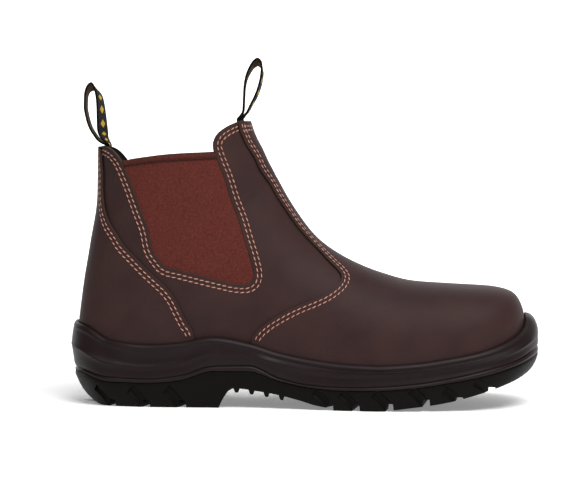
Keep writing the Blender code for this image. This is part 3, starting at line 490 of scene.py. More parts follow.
def spread(points, count, bend_weight=25 * MM):
    """The line through the points in count lengths, shorter where it bends."""
    kept = [points[0]]
    for point in points[1:-1]:
        if (point - kept[-1]).length > 0.2 * MM:
            kept.append(point)
    points = kept + [points[-1]]
    lengths = [0.0]
    before = points[1] - points[0]
    for a, b in zip(points, points[1:]):
        run = b - a
        lengths.append(lengths[-1] + run.length + bend_weight * before.angle(run, 0.0))
        before = run
    spaced, k = [], 0
    for i in range(count + 1):
        target = lengths[-1] * i / count
        while k < len(points) - 2 and lengths[k + 1] < target:
            k += 1
        part = (target - lengths[k]) / max(lengths[k + 1] - lengths[k], 1e-9)
        spaced.append(points[k].lerp(points[k + 1], min(1.0, part)))
    return spaced


def lift(share):
    """Height of a share: of the instep up to 1, and past 1 of the shaft above it."""
    if share <= 1.0:
        return share * INSTEP_HEIGHT
    return INSTEP_HEIGHT + (share - 1.0) * (COLLAR_HEIGHT - INSTEP_HEIGHT)


def seat(share):
    """Height of the feather line at a share of the length."""
    return sum(between(SEATS["x"], SEATS[name], share) * high
               for name, high in SEAT_HEIGHTS.items())


def feather(side, share):
    """Half-width of the feather line at a share of the length, round the heel too."""
    width = between(FEATHER["x"], FEATHER[side], share) * BALL_WIDTH
    if share >= HEEL_ROUND:
        return width
    reach = min(1.0, (HEEL_ROUND - share) / (HEEL_ROUND - FEATHER_BACK))
    return width * (1.0 - reach ** HEEL_POWER) ** (1.0 / HEEL_POWER)


# %% Sections of the form
def swell(q, first, widest, power):
    """Half-width at q of the way up a section, as a share of its widest."""
    if q < widest:
        left = 1.0 - q / widest
        return (1.0 - (1.0 - first ** LOW_POWER) * left ** LOW_POWER) ** (1.0 / LOW_POWER)
    up = (q - widest) / (1.0 - widest)
    return max(0.0, 1.0 - up ** power) ** (1.0 / power)


def half_section(low, top, first, width, ridge, widest, power, direction):
    """One side of a section, from its low end on the feather line to its top."""
    points = []
    for i in range(DENSE + 1):
        q = 0.5 - 0.5 * math.cos(math.pi * i / DENSE)
        out = swell(q, first, widest, power)
        point = low.lerp(top, q)
        point.y = LAST_Y + direction * width * out + ridge * (1.0 - out) * q
        points.append(point)
    return points


def form_rows():
    """All sections, each from its outer low end over to its inner one."""
    count = len(SECTIONS["name"])
    numbers = list(range(count))
    low_z = []
    for low_x, rise in zip(SECTIONS["low_x"], SECTIONS["rise"]):
        foot = seat(low_x)
        low_z.append(foot + rise * (COLLAR_HEIGHT - foot))
    top_z = [lift(share) for share in SECTIONS["top_z"]]
    rows = []
    for step in range((count - 1) * ROW_STEPS + 1):
        here = step / ROW_STEPS
        value = {name: between(numbers, SECTIONS[name], here) for name in SECTIONS
                 if name != "name"}
        level = value["rise"] == 0.0
        low_height = seat(value["low_x"]) if level else between(numbers, low_z, here)
        low = Vector((HEEL_X + value["low_x"] * SOLE_LENGTH, 0.0, low_height))
        top = Vector((HEEL_X + value["top_x"] * SOLE_LENGTH, 0.0, between(numbers, top_z, here)))
        sides = []
        for side, direction in (("outer", -1.0), ("inner", 1.0)):
            width = value[side] * BALL_WIDTH
            first = min(1.0, feather(side, value["low_x"]) / width) if level else 0.0
            dense = half_section(low, top, first, width, value["ridge"] * BALL_WIDTH,
                                 value["widest"], value["power"], direction)
            sides.append(spread(dense, SIDE_STEPS))
        rows.append(sides[0] + sides[1][-2::-1])
    return rows


form = lay("leather_form", form_rows(), closed=False)
form_points = [vertex.co.copy() for vertex in form.data.vertices]
form_normals = [vertex.normal.copy() for vertex in form.data.vertices]
form_faces = [tuple(polygon.vertices) for polygon in form.data.polygons]
print("form: %d faces" % len(form_faces))

# %% [markdown]
# ## Skins and cutters
#
# A shoemaker cuts flat leather and stretches it over the last. Here every panel is a skin: the
# whole form moved in by a depth, given a wall with Solidify, and then cut to its outline by a
# cutter that runs right through the boot from side to side. That way both sides of a seam
# come from the same line, and the cut edge stands square to the boot as a real one does.

# %% Skins, cutters and seams
def moved(depth):
    """The points of the form, moved out by a depth."""
    return [point + normal * depth for point, normal in zip(form_points, form_normals)]


def sheet_tree(depth):
    """The form at a depth, for finding where a line meets it."""
    return BVHTree.FromPolygons(moved(depth), form_faces)


def skin(name, depth, wall):
    """A closed wall under the form; its inner faces are numbered 1."""
    piece = bpy.data.objects.new(name, form.data.copy())
    piece.data.name = name
    bpy.context.collection.objects.link(piece)
    piece.data.vertices.foreach_set("co", [c for point in moved(depth) for c in point])
    for material in (upper_leather, felt):
        piece.data.materials.append(material)
    modify(piece, "SOLIDIFY", thickness=wall, offset=-1.0, material_offset=1)
    return piece


def cutter(name, outline, reach=FAR):
    """A prism: a circle primitive whose points are laid on the outline, pulled along Y."""
    bpy.ops.object.select_all(action="DESELECT")
    bpy.ops.mesh.primitive_circle_add(vertices=len(outline), fill_type="NGON")
    piece = named(name, [(x, -reach, z) for x, z in outline])
    bpy.ops.object.mode_set(mode="EDIT")
    bpy.ops.mesh.select_all(action="SELECT")
    bpy.ops.mesh.extrude_region_move(TRANSFORM_OT_translate={"value": (0.0, 2.0 * reach, 0.0)})
    bpy.ops.mesh.select_all(action="SELECT")
    bpy.ops.mesh.normals_make_consistent(inside=False)
    bpy.ops.object.mode_set(mode="OBJECT")
    return piece


def cut(piece, tool, operation):
    """Cut a piece with a closed tool, and throw the tool away."""
    modify(piece, "BOOLEAN", object=tool, operation=operation, solver="MANIFOLD")
    bpy.data.objects.remove(tool, do_unlink=True)
    only(piece)
    bpy.ops.object.shade_smooth_by_angle(angle=SHARP)


def panel(name, depth, wall, outline, inside, node):
    """A leather skin, cut to its outline and finished."""
    piece = skin(name, depth, wall)
    cut(piece, cutter("panel_cutter", outline), "INTERSECT")
    finish(piece, [upper_leather, inside], [node])


def place(points):
    """Share points of the side view, in metres."""
    return [(HEEL_X + x * SOLE_LENGTH, lift(z)) for x, z in points]


def flow(points, step):
    """A smooth line through points of the side view, cut into even steps."""
    points = [Vector(point) for point in points]
    ends = [2 * points[0] - points[1]] + points + [2 * points[-1] - points[-2]]
    fine = []
    for p0, p1, p2, p3 in zip(ends, ends[1:], ends[2:], ends[3:]):
        for i in range(12):
            t = i / 12
            fine.append(0.5 * ((2 * p1) + (p2 - p0) * t + (2 * p0 - 5 * p1 + 4 * p2 - p3) * t * t
                               + (3 * p1 - p0 - 3 * p2 + p3) * t ** 3))
    fine.append(points[-1])
    total = sum((b - a).length for a, b in zip(fine, fine[1:]))
    return [tuple(point) for point in spread(fine, max(4, round(total / step)), 0.0)]


# %% Outlines of the panels
COLLAR_BACK = ((0.0613, 1.750), (0.0742, 1.742), (0.0903, 1.706), (0.1060, 1.634), (0.1160, 1.560))
GORE_BACK = ((0.1194, 1.530), (0.1355, 1.367), (0.1516, 1.186), (0.1677, 1.007), (0.1774, 0.891))
GORE_FOOT = ((0.1903, 0.835), (0.2065, 0.790), (0.2387, 0.768), (0.2806, 0.740), (0.3226, 0.713),
             (0.3580, 0.694))
GORE_FRONT = ((0.3839, 0.700), (0.3935, 0.748), (0.3871, 0.838), (0.3742, 0.951), (0.3613, 1.103),
              (0.3452, 1.282), (0.3323, 1.463), (0.3161, 1.642), (0.3100, 1.720))
COLLAR_FRONT = ((0.3080, 1.774), (0.3110, 1.829), (0.3194, 1.883), (0.3355, 1.933), (0.3516, 1.967),
                (0.3677, 1.994))
GORE_TOP = ((0.0900, 1.600), (0.1160, 1.624), (0.1516, 1.648), (0.1935, 1.671), (0.2355, 1.685),
            (0.2774, 1.694), (0.3129, 1.704), (0.3400, 1.710))
VAMP_EDGE = ((0.3840, 0.300), (0.3900, 0.389), (0.3968, 0.422), (0.4097, 0.458), (0.4323, 0.503),
             (0.4742, 0.566), (0.5258, 0.624), (0.5510, 0.658), (0.5718, 0.703), (0.5785, 0.743),
             (0.5718, 0.781), (0.5548, 0.825), (0.5323, 0.889), (0.5097, 0.951), (0.4871, 1.032),
             (0.4677, 1.147), (0.4452, 1.290), (0.4258, 1.432), (0.4065, 1.550), (0.3935, 1.668),
             (0.3774, 1.776), (0.3677, 1.867), (0.3613, 1.939), (0.3600, 2.060))
COUNTER_EDGE = ((0.0600, 2.060), (0.0613, 1.747), (0.0645, 1.628), (0.0677, 1.492), (0.0677, 1.354),
                (0.0710, 1.217), (0.0774, 1.125), (0.0870, 1.040), (0.1000, 0.978), (0.1161, 0.914),
                (0.1419, 0.844), (0.1645, 0.783), (0.1871, 0.726), (0.2097, 0.670), (0.2258, 0.613),
                (0.2387, 0.545), (0.2516, 0.477), (0.2645, 0.421), (0.2700, 0.300))
SEAM_STEP = 1.5 * MM

COLLAR_EDGE = COLLAR_BACK + GORE_BACK + GORE_FOOT + GORE_FRONT + COLLAR_FRONT
collar_line = flow(place(COLLAR_EDGE), SEAM_STEP)
vamp_line = flow(place(VAMP_EDGE), SEAM_STEP)
counter_line = flow(place(COUNTER_EDGE), SEAM_STEP)
hem_line = flow(place(GORE_TOP), SEAM_STEP)
collar_back_z = collar_line[0][1]
collar_front_z = collar_line[-1][1]
print("collar line: %d points" % len(collar_line))

# %% [markdown]
# ## Quarters, vamp and counter
#
# The quarters are one skin with the U for the elastic cut out of each side. The vamp lies over
# them in front, with its strip running up the instep to the collar, and the counter lies over
# them behind, with its narrow strip up the back seam.

# %% Quarters
outline = [(-FAR, -FAR), (-FAR, collar_back_z)] + collar_line
outline += [(FAR, collar_front_z), (FAR, -FAR)]
panel("quarters", QUARTER_FACE, QUARTER_WALL, outline, felt, "upper")

# %% Vamp
line = [point for point in vamp_line if point[1] < collar_front_z]
outline = [(line[0][0], -FAR)] + line + [(line[-1][0], collar_front_z), (FAR, collar_front_z),
                                         (FAR, -FAR)]
panel("vamp_panel", 0.0, OVERLAY_WALL, outline, edge_leather, "vamp")

# %% Counter
line = [point for point in counter_line if point[1] < collar_back_z]
outline = [(-FAR, -FAR), (-FAR, collar_back_z), (line[0][0], collar_back_z)] + line
outline += [(line[-1][0], -FAR)]
panel("counter_panel", 0.0, OVERLAY_WALL, outline, edge_leather, "counter")

# %% [markdown]
# ## The elastic gores
#
# The elastic sits flush with the lining, inside the U. Each side is its own piece, cut by the
# same line as the quarters, a hair inside it, and by the line of its hem.

# %% Gores
GORE_GAP = 0.15 * MM
HEM_GAP = 0.5 * MM
CORNER_GAP = 0.3 * MM


def inside_u(clearance):
    """The outline of a gore: the U moved in by a clearance, up to the hem."""
    xs = [x for x, _ in hem_line]
    zs = [z for _, z in hem_line]
    inner = []
    for i, (x, z) in enumerate(collar_line):
        ahead, behind = collar_line[min(i + 1, len(collar_line) - 1)], collar_line[max(i - 1, 0)]
        run, rise = ahead[0] - behind[0], ahead[1] - behind[1]
        length = math.hypot(run, rise)
        inner.append((x - rise / length * clearance, z + run / length * clearance))
    inner = [(x, z) for x, z in inner if z < between(xs, zs, x) - HEM_GAP]
    (left, _), (right, _) = inner[0], inner[-1]
    top = [(x, z) for x, z in hem_line if left + CORNER_GAP < x < right - CORNER_GAP]
    ends = [(left, between(xs, zs, left)), (right, between(xs, zs, right))]
    return [ends[0]] + inner + [ends[1]] + top[::-1]


gore_outline = inside_u(GORE_GAP)
for name, node, direction in (("gore_cloth_outer", "gore_outer", -1.0),
                              ("gore_cloth_inner", "gore_inner", 1.0)):
    gore = skin(name, GORE_FACE, GORE_WALL)
    cut(gore, cutter("gore_cutter", gore_outline), "INTERSECT")
    half = cutter("half", [(-FAR, -FAR), (FAR, -FAR), (FAR, FAR), (-FAR, FAR)])
    half.data.transform(Matrix.Translation((0.0, direction * FAR, 0.0)))
    cut(gore, half, "INTERSECT")
    finish(gore, [gore_cloth, felt], [node])

# %% [markdown]
# ## Edges, cords and stitches
#
# A cord is a small round section carried along a line on the leather. It makes the rounded
# raw edge of each panel and the sunk thread of each seam. A stitch is a stretched sphere,
# modelled once and copied along the row. Seam lines are drawn in the side view, thrown on
# both sides of the boot, and moved sideways along the leather, not in the picture, so rows
# stay even where the leather turns away over the instep.

# %% Lines on the leather
def on_side(line, tree, direction):
    """Where a line of the side view meets one side: points with the way out."""
    found = []
    for x, z in line:
        hit, normal, _, _ = tree.ray_cast(Vector((x, direction * FAR, z)),
                                          Vector((0.0, -direction, 0.0)))
        if hit:
            if normal.y * direction < 0.0:
                normal = -normal
            found.append((hit, normal))
    return found


def run_at(line, i):
    """The run of a line at one of its places, from the one before to the one after."""
    return line[min(i + 1, len(line) - 1)][0] - line[max(i - 1, 0)][0]


def beside(line, tree, distance):
    """A line moved sideways on the leather, to the left of its run seen from outside."""
    found = []
    for i, (point, normal) in enumerate(line):
        across = normal.cross(run_at(line, i)).normalized()
        near, out, _, _ = tree.find_nearest(point + across * distance)
        if out.dot(normal) < 0.0:
            out = -out
        found.append((near, out))
    return found


def carried(line, section):
    """Rows of a section carried along a line, drawn to a point at both ends."""
    rows = []
    for i, (point, out) in enumerate(line):
        run = run_at(line, i).normalized()
        across = out.cross(run).normalized()
        up = run.cross(across)
        row = [point + across * a + up * b for a, b in section]
        rows.append(row + row[:1])
    middle = [sum(row[:-1], Vector()) / len(section) for row in (rows[0], rows[-1])]
    count = len(section) + 1
    return [[middle[0]] * count] + rows + [[middle[1]] * count]


def oval(wide, high, count=8):
    """An oval section, from its half-width and half-height."""
    turns = [2 * math.pi * i / count for i in range(count)]
    return [(wide * math.cos(t), high * math.sin(t)) for t in turns]


def join(name, parts):
    """Join loose parts into one piece."""
    bpy.ops.object.select_all(action="DESELECT")
    for part in parts:
        part.select_set(True)
    bpy.context.view_layer.objects.active = parts[0]
    bpy.ops.object.join()
    parts[0].name = parts[0].data.name = name
    return parts[0]


outer_tree = sheet_tree(0.0)
quarter_tree = sheet_tree(QUARTER_FACE)
gore_tree = sheet_tree(GORE_FACE)
print("trees for vamp and counter, quarters and gores")

# %% Stitches
STITCH_PITCH = 3.8 * MM
STITCH_LENGTH = 2.8 * MM
STITCH_TILT = math.radians(9.0)
STITCH_HEIGHT = 0.9
STITCH_RISE = 0.12
THREAD = 0.68 * MM

bpy.ops.object.select_all(action="DESELECT")
bpy.ops.mesh.primitive_uv_sphere_add(segments=8, ring_count=6, radius=0.5)
one_stitch = bpy.context.object
one_stitch.name = "one_stitch"
stitch_points = [vertex.co.copy() for vertex in one_stitch.data.vertices]
stitch_faces = [tuple(polygon.vertices) for polygon in one_stitch.data.polygons]
bpy.data.objects.remove(one_stitch, do_unlink=True)


def walk(line, pitch):
    """Even places along a line, with the run and the way out at each."""
    lengths = lengths_along([point for point, _ in line])
    count = max(1, round(lengths[-1] / pitch))
    k = 0
    for i in range(count):
        target = lengths[-1] * (i + 0.5) / count
        while lengths[k + 1] < target:
            k += 1
        part = (target - lengths[k]) / (lengths[k + 1] - lengths[k])
        (a, out_a), (b, out_b) = line[k], line[k + 1]
        yield a.lerp(b, part), (b - a).normalized(), out_a.lerp(out_b, part).normalized()


def sew(name, rows, pitch=STITCH_PITCH, length=STITCH_LENGTH, width=THREAD):
    """One mesh of stitches along rows of places on the leather."""
    points, faces = [], []
    for row in rows:
        for middle, run, out in walk(row, pitch):
            across = out.cross(run)
            run, across = (run * math.cos(STITCH_TILT) + across * math.sin(STITCH_TILT),
                           across * math.cos(STITCH_TILT) - run * math.sin(STITCH_TILT))
            first = len(points)
            for p in stitch_points:
                points.append(middle + run * (p.z * length) + across * (p.x * width)
                              + out * (p.y * width * STITCH_HEIGHT + STITCH_RISE * width))
            faces += [tuple(index + first for index in face) for face in stitch_faces]
    mesh = bpy.data.meshes.new(name)
    mesh.from_pydata(points, [], faces)
    piece = bpy.data.objects.new(name, mesh)
    bpy.context.collection.objects.link(piece)
    merge(piece, True)
    bpy.ops.object.shade_smooth()
    return piece


# %% Seam lines on both sides
FIRST_ROW = 2.1 * MM
SECOND_ROW = 4.7 * MM
RIM_CLEAR = 45.5 * MM
COLLAR_CLEAR = 1.0 * MM
BAR_DROPS = (3.4 * MM, 6.0 * MM)
BAR_CENTRE = 25.0 * MM
SUNK_SECTION = oval(0.8 * MM, 0.14 * MM)

vamp_seam = [point for point in flow(place(VAMP_EDGE), MM)
             if RIM_CLEAR - SEAM_STEP < point[1] < collar_front_z - COLLAR_CLEAR]
counter_seam = [point for point in flow(place(COUNTER_EDGE), MM)
                if RIM_CLEAR < point[1] < collar_back_z - COLLAR_CLEAR]
collar_seam = flow(place(COLLAR_EDGE), MM)
edges, sunk, stitched = [], [], []
for direction in (-1.0, 1.0):
    for seam, tree, wall in ((vamp_seam, outer_tree, OVERLAY_WALL),
                             (counter_seam, outer_tree, OVERLAY_WALL),
                             (collar_seam, quarter_tree, QUARTER_WALL)):
        on_leather = on_side(seam, tree, direction)
        roll = [(point - out * 0.5 * wall, out) for point, out in on_leather]
        edges.append(lay("edge", carried(roll, oval(0.32 * wall, 0.53 * wall))))
        for distance in (FIRST_ROW, SECOND_ROW):
            row = beside(on_leather, tree, direction * distance)
            stitched.append(row)
            sunk.append(lay("sunk", carried(row, SUNK_SECTION)))
for drop in BAR_DROPS:
    row, z = [], collar_front_z - drop
    edge_x = min(x for x, seam_z in vamp_seam if abs(seam_z - z) < MM) + FIRST_ROW
    for i in range(-40, 41):
        turn = math.radians(2.0 * i)
        hit, out, _, _ = outer_tree.ray_cast(Vector((edge_x - BAR_CENTRE, LAST_Y, z)),
                                             Vector((math.cos(turn), math.sin(turn), 0.0)))
        if hit and hit.x > edge_x:
            row.append((hit, out if out.x > 0.0 else -out))
    stitched.append(row)
    sunk.append(lay("sunk", carried(row, SUNK_SECTION)))
rolled_edges = join("rolled_edges", edges)
finish(rolled_edges, [edge_leather])
sunk_seams = join("sunk_seams", sunk)
finish(sunk_seams, [sunk_thread])
stitches = sew("stitches", stitched)
finish(stitches, [pale_thread])

# %% [markdown]
# ## Hem of the elastic
#
# The top of each gore is folded over and sewn with a line of small dark stitches.

# %% Hems
HEM_HEIGHT = 2.9 * MM
HEM_SWELL = 0.5 * MM
HEM_LAP = 0.3 * MM
HEM_PITCH = 1.5 * MM
HEM_STITCH = 1.35 * MM
HEM_THREAD = 1.1 * MM
HEM_DROP = 0.7 * MM
left_x = gore_outline[0][0]
right_x = max(x for x, z in gore_outline if z > hem_line[0][1])
hem_middle = [(x, z - 0.5 * HEM_HEIGHT) for x, z in flow(place(GORE_TOP), MM)
              if left_x + HEM_GAP < x < right_x - HEM_GAP]
hems, hem_rows = [], []
for direction in (-1.0, 1.0):
    line = [(point - out * 0.5 * GORE_WALL, out)
            for point, out in on_side(hem_middle, gore_tree, direction)]
    section = oval(0.5 * HEM_HEIGHT + HEM_LAP, 0.5 * GORE_WALL + HEM_SWELL, 12)
    hems.append(lay("hem", carried(line, section)))
    below = [(x, z - 0.5 * HEM_HEIGHT - HEM_DROP) for x, z in hem_middle]
    hem_rows.append(on_side(below, gore_tree, direction))
gore_hems = join("gore_hems", hems)
finish(gore_hems, [hem_cloth])
hem_stitches = sew("hem_stitches", hem_rows, HEM_PITCH, HEM_STITCH, HEM_THREAD)
finish(hem_stitches, [hem_thread])

# %% [markdown]
# ## The moulded cup
#
# The cup wraps the foot of the upper: a rounded bead along its top edge, a hollow panel under
# it at the heel that ends on a ridge, a plain side, and a joint with a fine bead in a double
# line where the tread begins. The sole is drawn as a profile at each of many stations round
# the feather line. All heights come from one table, so bead, ridge and joint run smoothly.

# %% Stations round the sole
SOLE_SIDE = 0.050
FLANGE = 7.5 * MM
RIM_WALL = 2.9 * MM
RIM_BEAD = 4.2 * MM
RIM_GROOVE = 0.7 * MM
CUP_GAP = 0.4 * MM
CUP_FLOOR = 2.5 * MM
STATIONS = 130
SOLE_LINES = table(
    ("way", "rim", "ridge", "joint_top", "joint_foot", "bottom", "flange", "tread", "foot",
     "crest", "hollow", "puff"),
    (0.00, 1.080, 0.780, 0.460, 0.420, 0.000, 0.93, -1.45, 0.55, 0.30, 0.15, 0.7),
    (0.06, 1.040, 0.740, 0.465, 0.425, 0.000, 0.93, -1.00, 0.62, 0.70, 0.60, 0.4),
    (0.12, 0.860, 0.570, 0.388, 0.326, 0.000, 0.95, 0.20, 0.86, 1.00, 1.00, 0.1),
    (0.19, 0.814, 0.526, 0.370, 0.316, 0.000, 0.95, 0.70, 0.95, 1.00, 1.00, 0.0),
    (0.25, 0.844, 0.588, 0.418, 0.354, 0.000, 0.95, 0.75, 0.95, 0.90, 0.80, 0.0),
    (0.31, 0.918, 0.720, 0.540, 0.476, 0.000, 0.95, 0.75, 0.95, 0.00, 0.00, 0.0),
    (0.38, 0.842, 0.695, 0.555, 0.480, 0.000, 0.93, 0.75, 0.93, 0.00, 0.00, 0.0),
    (0.44, 0.722, 0.600, 0.400, 0.362, 0.000, 0.95, 0.78, 0.95, 0.10, 0.10, 0.0),
    (0.50, 0.644, 0.520, 0.324, 0.286, 0.000, 0.97, 0.80, 0.97, 0.80, 0.20, 0.0),
    (0.56, 0.598, 0.483, 0.308, 0.260, 0.000, 1.00, 0.82, 1.00, 1.00, 0.20, 0.0),
    (0.62, 0.584, 0.480, 0.317, 0.266, 0.000, 1.00, 0.82, 1.00, 1.00, 0.15, 0.0),
    (0.69, 0.616, 0.506, 0.358, 0.304, 0.050, 1.00, 0.80, 1.00, 1.00, 0.15, 0.0),
    (0.75, 0.676, 0.560, 0.422, 0.366, 0.112, 1.02, 0.78, 1.02, 1.00, 0.15, 0.0),
    (0.81, 0.758, 0.632, 0.518, 0.448, 0.222, 1.05, 0.72, 1.05, 0.90, 0.10, 0.1),
    (0.88, 0.905, 0.770, 0.645, 0.570, 0.355, 1.12, 0.62, 1.12, 0.45, 0.00, 0.5),
    (0.93, 1.040, 0.875, 0.740, 0.650, 0.435, 1.17, 0.57, 1.17, 0.20, 0.00, 0.9),
    (0.97, 1.170, 0.940, 0.775, 0.685, 0.465, 1.20, 0.53, 1.20, 0.00, 0.00, 1.0),
    (1.00, 1.205, 0.960, 0.780, 0.690, 0.470, 1.20, 0.53, 1.20, 0.00, 0.00, 1.0),
)


def side_line(side, direction):
    """The feather line of one side, from the back of the heel to the tip of the toe."""
    toe_start = SECTIONS["low_x"][0]
    points = []
    for i in range(DENSE + 1):
        part = 1.0 - math.cos(0.5 * math.pi * i / DENSE)
        share = FEATHER_BACK + (toe_start - FEATHER_BACK) * part
        points.append(Vector((HEEL_X + share * SOLE_LENGTH,
                              LAST_Y + direction * feather(side, share), 0.0)))
    low = Vector((HEEL_X + toe_start * SOLE_LENGTH, 0.0, 0.0))
    top = Vector((HEEL_X + SECTIONS["top_x"][0] * SOLE_LENGTH, 0.0, 0.0))
    toe = half_section(low, top, 1.0, SECTIONS[side][0] * BALL_WIDTH,
                       SECTIONS["ridge"][0] * BALL_WIDTH, 0.0, SECTIONS["power"][0], direction)
    return spread(points + toe[1:], STATIONS)


def ways(points):
    """How far along the line each point is, from 0 to 1."""
    lengths = lengths_along(points)
    return [length / lengths[-1] for length in lengths]


outer_line = side_line("outer", -1.0)
inner_line = side_line("inner", 1.0)
feather_points = outer_line + inner_line[-2:0:-1]
feather_ways = ways(outer_line) + ways(inner_line)[-2:0:-1]
stations = []
for i, point in enumerate(feather_points):
    run = feather_points[(i + 1) % len(feather_points)] - feather_points[i - 1]
    line = {}
    for name in SOLE_LINES:
        size = FLANGE if name in ("flange", "tread", "foot") else SOLE_SIDE
        size = 1.0 if name in ("crest", "hollow", "puff") else size
        line[name] = size * between(SOLE_LINES["way"], SOLE_LINES[name], feather_ways[i])
    line["point"] = point
    line["out"] = Vector((run.y, -run.x, 0.0)).normalized()
    line["seat"] = seat((point.x - HEEL_X) / SOLE_LENGTH)
    stations.append(line)
print("stations:", len(stations))

# %% Cup
counter_end = max(x for x, _ in counter_line) + CUP_GAP
vamp_start = min(x for x, z in vamp_line if z < SOLE_SIDE) - CUP_GAP
over_tree = sheet_tree(CUP_GAP)
under_tree = sheet_tree(QUARTER_FACE + CUP_GAP)


def leather_at(line, height, tree):
    """How far out from the feather line the leather stands at a height."""
    first = line["point"] + line["out"] * BALL_WIDTH
    first.z = height
    hit = tree.ray_cast(first, -line["out"])[0]
    return BALL_WIDTH - (first - hit).length if hit else 0.0


def cup_profile(line):
    """Out and up, from the joint round the outside to the floor inside."""
    rim, ridge, joint, foot = (line[name] for name in ("rim", "ridge", "joint_top", "joint_foot"))
    crest, hollow, puff, foot_out = (line[name] for name in ("crest", "hollow", "puff", "foot"))
    leather_out = leather_at(line, rim, over_tree)
    rim_out = leather_out + RIM_WALL
    flange = max(line["flange"], rim_out + 2 * GAP)
    under_rim = rim - RIM_BEAD
    panel = under_rim - ridge
    side = ridge - joint
    deep = hollow * min(1.9 * MM, 0.5 * panel)
    step = crest * min(1.5 * MM, 0.35 * side)
    wide = flange - foot_out
    points = [
        (foot_out - 2.0 * MM, foot + 0.15 * MM),
        (foot_out - 0.5 * MM, foot + 0.15 * MM),
        (foot_out - 0.15 * MM, foot + 0.35 * MM),
        (foot_out + 0.15 * MM, foot + 0.45 * (joint - foot)),
        (foot_out - 0.10 * MM, joint - 0.70 * MM),
        (foot_out - 1.20 * MM, joint - 0.30 * MM),
        (foot_out - 1.20 * MM, joint + 0.15 * MM),
        (foot_out - 0.30 * MM, joint + 0.70 * MM),
        (foot_out + 0.35 * wide - 0.4 * step, joint + 0.20 * side),
        (foot_out + 0.75 * wide - 0.9 * step, joint + 0.55 * side),
        (flange - 0.10 * MM - step, ridge - 0.24 * side),
        (flange - 0.45 * step, ridge - 0.09 * side),
    ]
    plain = [(flange, ridge), (flange - 0.05 * MM - 0.70 * deep, ridge + 0.05 * panel)]
    for part, depth in ((0.12, 0.92), (0.35, 1.0), (0.60, 0.85), (0.85, 0.50)):
        plain.append((flange + (rim_out - flange) * part - deep * depth, ridge + part * panel))
    plain += [
        (rim_out - RIM_GROOVE * hollow, under_rim),
        (rim_out - 0.10 * MM * hollow, under_rim + 0.12 * RIM_BEAD),
        (rim_out + 0.20 * MM, rim - 0.70 * RIM_BEAD),
        (rim_out + 0.05 * MM, rim - 0.50 * RIM_BEAD),
        (rim_out - 0.55 * MM, rim - 0.27 * RIM_BEAD),
        (rim_out - 1.35 * MM, rim - 0.09 * RIM_BEAD),
        (rim_out - 2.10 * MM, rim),
    ]
    inmost = leather_out + RIM_WALL - 2.10 * MM
    for out, height in plain:
        up = min(1.0, (height - ridge) / (rim - ridge))
        round_out = inmost + (flange - inmost) * math.sqrt(1.0 - up * up)
        points.append((out + (round_out - out) * puff, height))
    covered = line["point"].x < counter_end or line["point"].x > vamp_start
    tree = over_tree if covered else under_tree
    floor = line["seat"] - GAP
    for part in (0.97, 0.66, 0.33, 0.05):
        height = floor + part * (rim - floor)
        points.append((leather_at(line, height, tree), height))
    return points, floor


def ring_piece(name, profiles, low, high):
    """A closed piece from a profile at each station; its ends meet on the middle line."""
    count = len(stations)
    columns = []
    for i, profile in enumerate(profiles):
        j = (count - i) % count
        line, other = stations[i], stations[j]
        column = []
        for out, height in profile:
            point = line["point"] + line["out"] * out
            column.append(Vector((point.x, point.y, height)))
        middle = 0.5 * (line["point"] + other["point"])
        foot = Vector((middle.x, middle.y, 0.5 * (low[i] + low[j])))
        roof = Vector((middle.x, middle.y, 0.5 * (high[i] + high[j])))
        columns.append([foot] + column + [roof])
    columns.append(columns[0])
    return lay(name, [list(row) for row in zip(*columns)])


made = [cup_profile(line) for line in stations]
lows = [min(line["joint_foot"], line["seat"] - GAP - CUP_FLOOR) for line in stations]
profiles = [[(0.0, low)] + profile for low, (profile, _) in zip(lows, made)]
cup = ring_piece("cup", profiles, lows, [floor for _, floor in made])
finish(cup, [cup_rubber], ["midsole"])

# %% [markdown]
# ## The tread
#
# The tread is the hard underside: its edge rounds under at heel and toe, the waist is arched
# with a few cross ribs, and grooves part the lugs. Each side groove leans forward as it comes
# down, so it is a slanted cutter let into the edge.

# %% Tread
def tread_profile(line):
    """Out and up, from the underside round the edge to the top under the cup."""
    under = min(line["joint_foot"], line["seat"] - GAP - CUP_FLOOR) - GAP
    drop = line["joint_foot"] - line["bottom"]
    flange, tread, low = line["foot"], line["tread"], line["bottom"]
    wide = flange - tread
    points = [(tread - 2.0 * MM, low), (tread - 0.6 * MM, low + 0.05 * MM),
              (tread + 0.05 * wide, low + 0.03 * drop), (tread + 0.14 * wide, low + 0.07 * drop),
              (tread + 0.29 * wide, low + 0.15 * drop), (tread + 0.45 * wide, low + 0.25 * drop),
              (tread + 0.64 * wide, low + 0.41 * drop), (tread + 0.80 * wide, low + 0.58 * drop),
              (tread + 0.92 * wide, low + 0.76 * drop), (flange, low + 0.88 * drop),
              (flange - 0.15 * MM, line["joint_foot"] - 0.30 * MM),
              (flange - 0.60 * MM, line["joint_foot"] - 0.12 * MM),
              (flange - 2.2 * MM, line["joint_foot"] - 0.12 * MM), (0.0, under)]
    return points, under


made = [tread_profile(line) for line in stations]
tread = ring_piece("tread", [profile for profile, _ in made],
                   [line["bottom"] for line in stations], [under for _, under in made])
print("tread blank: %d faces" % len(tread.data.polygons))

# %% Arch, ribs and channels
ARCH = table(
    ("x", "z"),
    (0.313, -0.100), (0.323, 0.040), (0.332, 0.150), (0.342, 0.230), (0.353, 0.260),
    (0.400, 0.228), (0.450, 0.178), (0.490, 0.120), (0.520, 0.066), (0.550, 0.026),
    (0.580, -0.100),
)
FIRST_RIB = 0.358
RIB_PITCH = 0.0315
RIBS = 4
RIB_WIDTH = 3.4 * MM
RIB_HEIGHT = 2.8 * MM
BELOW = -0.05

